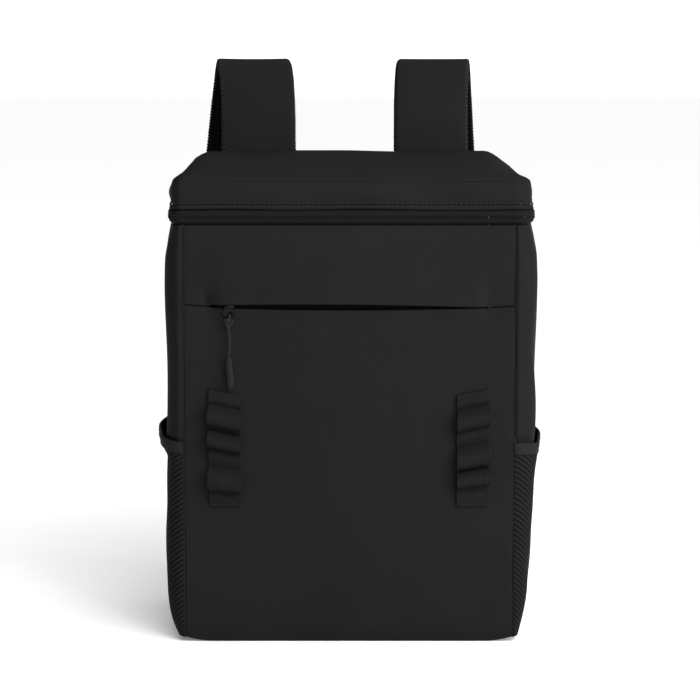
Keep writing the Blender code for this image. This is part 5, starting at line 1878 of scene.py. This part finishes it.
def light_dome(tree):
    """A soft dome: bright overhead, behind and at the right, and dim low down at the left."""
    def maths(operation, *values):
        made = tree.nodes.new("ShaderNodeMath")
        made.operation = operation
        made.use_clamp = operation != "MULTIPLY"
        for socket, value in zip(made.inputs, values):
            if isinstance(value, (int, float)):
                socket.default_value = value
            else:
                tree.links.new(value, socket)
        return made.outputs[0]

    sizes = bpy.context.scene.bag_stage
    split = tree.nodes.new("ShaderNodeSeparateXYZ")
    tree.links.new(tree.nodes.new("ShaderNodeTexCoord").outputs["Generated"], split.inputs[0])
    to_right, _, upwards = split.outputs
    from_right = maths("MULTIPLY_ADD", to_right, 0.7, 0.78)
    overhead = maths("MULTIPLY", maths("MULTIPLY_ADD", upwards, 3.0, -1.25), from_right)
    horizon = maths("MULTIPLY_ADD", upwards, -33.0, 2.2)
    right = maths("MULTIPLY", maths("MULTIPLY_ADD", to_right, 0.8, 0.0), 0.4)
    shares = maths("MAXIMUM", maths("MAXIMUM", overhead, horizon), right)
    level = tree.nodes.new("ShaderNodeMapRange")
    level.inputs["To Min"].default_value = sizes.dome_low
    level.inputs["To Max"].default_value = sizes.dome
    tree.links.new(shares, level.inputs["Value"])
    tree.links.new(level.outputs[0], tree.nodes["Background"].inputs[1])
    tree.nodes["Background"].inputs[0].default_value = (1, 1, 1, 1)


def build_stage():
    """The pale floor, the dome and the two softboxes, and the camera at the photo's angle."""
    sizes = bpy.context.scene.bag_stage
    mesh = bpy.data.meshes.new("studio_floor")
    reach = FLOOR_REACH
    mesh.from_pydata(
        [(-reach, -reach, 0), (reach, -reach, 0), (reach, reach, 0), (-reach, reach, 0)],
        [], [(0, 1, 2, 3)])
    floor = bpy.data.objects.new("studio_floor", mesh)
    bpy.context.scene.collection.objects.link(floor)
    mesh.materials.append(finish_of("floor"))

    scene = bpy.context.scene
    scene.view_settings.view_transform = "Standard"
    world = bpy.data.worlds.new("studio")
    scene.world = world
    world.use_nodes = True
    light_dome(world.node_tree)

    area_light("key_softbox", (1.6, -1.6, 1.1), (0, 0, 0.2), (2.0, 2.0), sizes.key)
    area_light("front_softbox", (0.6, -2.9, 2.7), (0, 0, 0.25), (1.6, 1.0), sizes.front)

    camera = bpy.data.cameras.new("photo_camera")
    camera.sensor_width = SENSOR_WIDTH
    camera.lens = SENSOR_WIDTH * FOCAL_PIXELS / PHOTO_PIXELS
    made = bpy.data.objects.new("photo_camera", camera)
    elevation = math.radians(CAMERA_ELEVATION)
    made.location = Vector(CAMERA_AIM) + CAMERA_DISTANCE * Vector(
        (0, -math.cos(elevation), math.sin(elevation)))
    made.rotation_euler = (math.radians(90.0) - elevation, 0, 0)
    scene.collection.objects.link(made)
    scene.camera = made


class BAG_OT_stage(bpy.types.Operator):
    """Set up the pale floor, the soft lights and the camera"""

    bl_idname = "bag.stage"
    bl_label = "Studio"

    def execute(self, context):
        build_stage()
        return {"FINISHED"}


class BAG_OT_front(bpy.types.Operator):
    """Sew the two padded front covers, with the slit between them"""

    bl_idname = "bag.front"
    bl_label = "Front Covers"

    def execute(self, context):
        build_front_covers()
        return {"FINISHED"}


class BAG_OT_sides(bpy.types.Operator):
    """Sew the padded sides, pressed in behind the pockets"""

    bl_idname = "bag.sides"
    bl_label = "Side Covers"

    def execute(self, context):
        build_side_covers()
        return {"FINISHED"}


class BAG_OT_back(bpy.types.Operator):
    """Sew the padded back and the base"""

    bl_idname = "bag.back"
    bl_label = "Back and Base"

    def execute(self, context):
        build_back_and_base()
        return {"FINISHED"}


class BAG_OT_welts(bpy.types.Operator):
    """Lay the welts in the front seams"""

    bl_idname = "bag.welts"
    bl_label = "Welts"

    def execute(self, context):
        build_welts()
        return {"FINISHED"}


class BAG_OT_pockets(bpy.types.Operator):
    """Hang the mesh pockets with their bound mouths"""

    bl_idname = "bag.pockets"
    bl_label = "Mesh Pockets"

    def execute(self, context):
        build_pockets()
        return {"FINISHED"}


class BAG_OT_lid(bpy.types.Operator):
    """Build the lid's hem, band and cushion"""

    bl_idname = "bag.lid"
    bl_label = "Lid"

    def execute(self, context):
        build_lid()
        return {"FINISHED"}


class BAG_OT_lid_zip(bpy.types.Operator):
    """Lay the lid's zip and the cloth hinge behind it"""

    bl_idname = "bag.lid_zip"
    bl_label = "Lid Zip"

    def execute(self, context):
        build_lid_zip()
        return {"FINISHED"}


class BAG_OT_webbing(bpy.types.Operator):
    """Sew the ribbed webbing with its loops onto the front"""

    bl_idname = "bag.webbing"
    bl_label = "Front Webbing"

    def execute(self, context):
        build_front_webbing()
        return {"FINISHED"}


class BAG_OT_straps(bpy.types.Operator):
    """Build the padded shoulder straps with their air mesh"""

    bl_idname = "bag.straps"
    bl_label = "Shoulder Straps"

    def execute(self, context):
        build_straps()
        return {"FINISHED"}


class BAG_OT_pull(bpy.types.Operator):
    """Hang the front zip's pull, and lay the coil in the slit"""

    bl_idname = "bag.pull"
    bl_label = "Front Zip and Pull"

    def execute(self, context):
        build_slit_teeth()
        build_pull()
        return {"FINISHED"}


class BAG_OT_stitches(bpy.types.Operator):
    """Sew the rows of stitches"""

    bl_idname = "bag.stitches"
    bl_label = "Stitches"

    def execute(self, context):
        build_stitches()
        return {"FINISHED"}


class BAG_OT_strap_ends(bpy.types.Operator):
    """Build the adjusters, the lower webbing and its tabs"""

    bl_idname = "bag.strap_ends"
    bl_label = "Strap Ends"

    def execute(self, context):
        build_strap_ends()
        return {"FINISHED"}


class BAG_OT_fittings(bpy.types.Operator):
    """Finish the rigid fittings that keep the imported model's shape"""

    bl_idname = "bag.fittings"
    bl_label = "Fittings"

    def execute(self, context):
        recolour_nodes()
        return {"FINISHED"}


STEPS = (
    BAG_OT_stage,
    BAG_OT_back,
    BAG_OT_front,
    BAG_OT_sides,
    BAG_OT_welts,
    BAG_OT_pockets,
    BAG_OT_lid_zip,
    BAG_OT_lid,
    BAG_OT_webbing,
    BAG_OT_straps,
    BAG_OT_strap_ends,
    BAG_OT_pull,
    BAG_OT_stitches,
    BAG_OT_fittings,
)


class BAG_PT_pieces(bpy.types.Panel):
    """Lists the backpack's pieces in the 3D view's sidebar."""

    bl_idname = "BAG_PT_pieces"
    bl_label = "Cooler Backpack"
    bl_space_type = "VIEW_3D"
    bl_region_type = "UI"
    bl_category = "Cooler Backpack"

    def draw(self, context):
        for step in STEPS:
            self.layout.operator(step.bl_idname)


GROUPS = {
    "bag_body": BagBodySizes,
    "bag_zip": BagZipSizes,
    "bag_webbing": BagWebbingSizes,
    "bag_stitching": BagStitching,
    "bag_finishes": BagFinishes,
    "bag_stage": BagStageSizes,
}


def register():
    for name, group in GROUPS.items():
        bpy.utils.register_class(group)
        setattr(bpy.types.Scene, name, PointerProperty(type=group))
    for step in STEPS:
        bpy.utils.register_class(step)
    bpy.utils.register_class(BAG_PT_pieces)


def unregister():
    bpy.utils.unregister_class(BAG_PT_pieces)
    for step in reversed(STEPS):
        bpy.utils.unregister_class(step)
    for name, group in reversed(GROUPS.items()):
        delattr(bpy.types.Scene, name)
        bpy.utils.unregister_class(group)


def main():
    register()
    for step in STEPS:
        group, name = step.bl_idname.split(".")
        getattr(getattr(bpy.ops, group), name)()


if __name__ == "__main__":
    main()
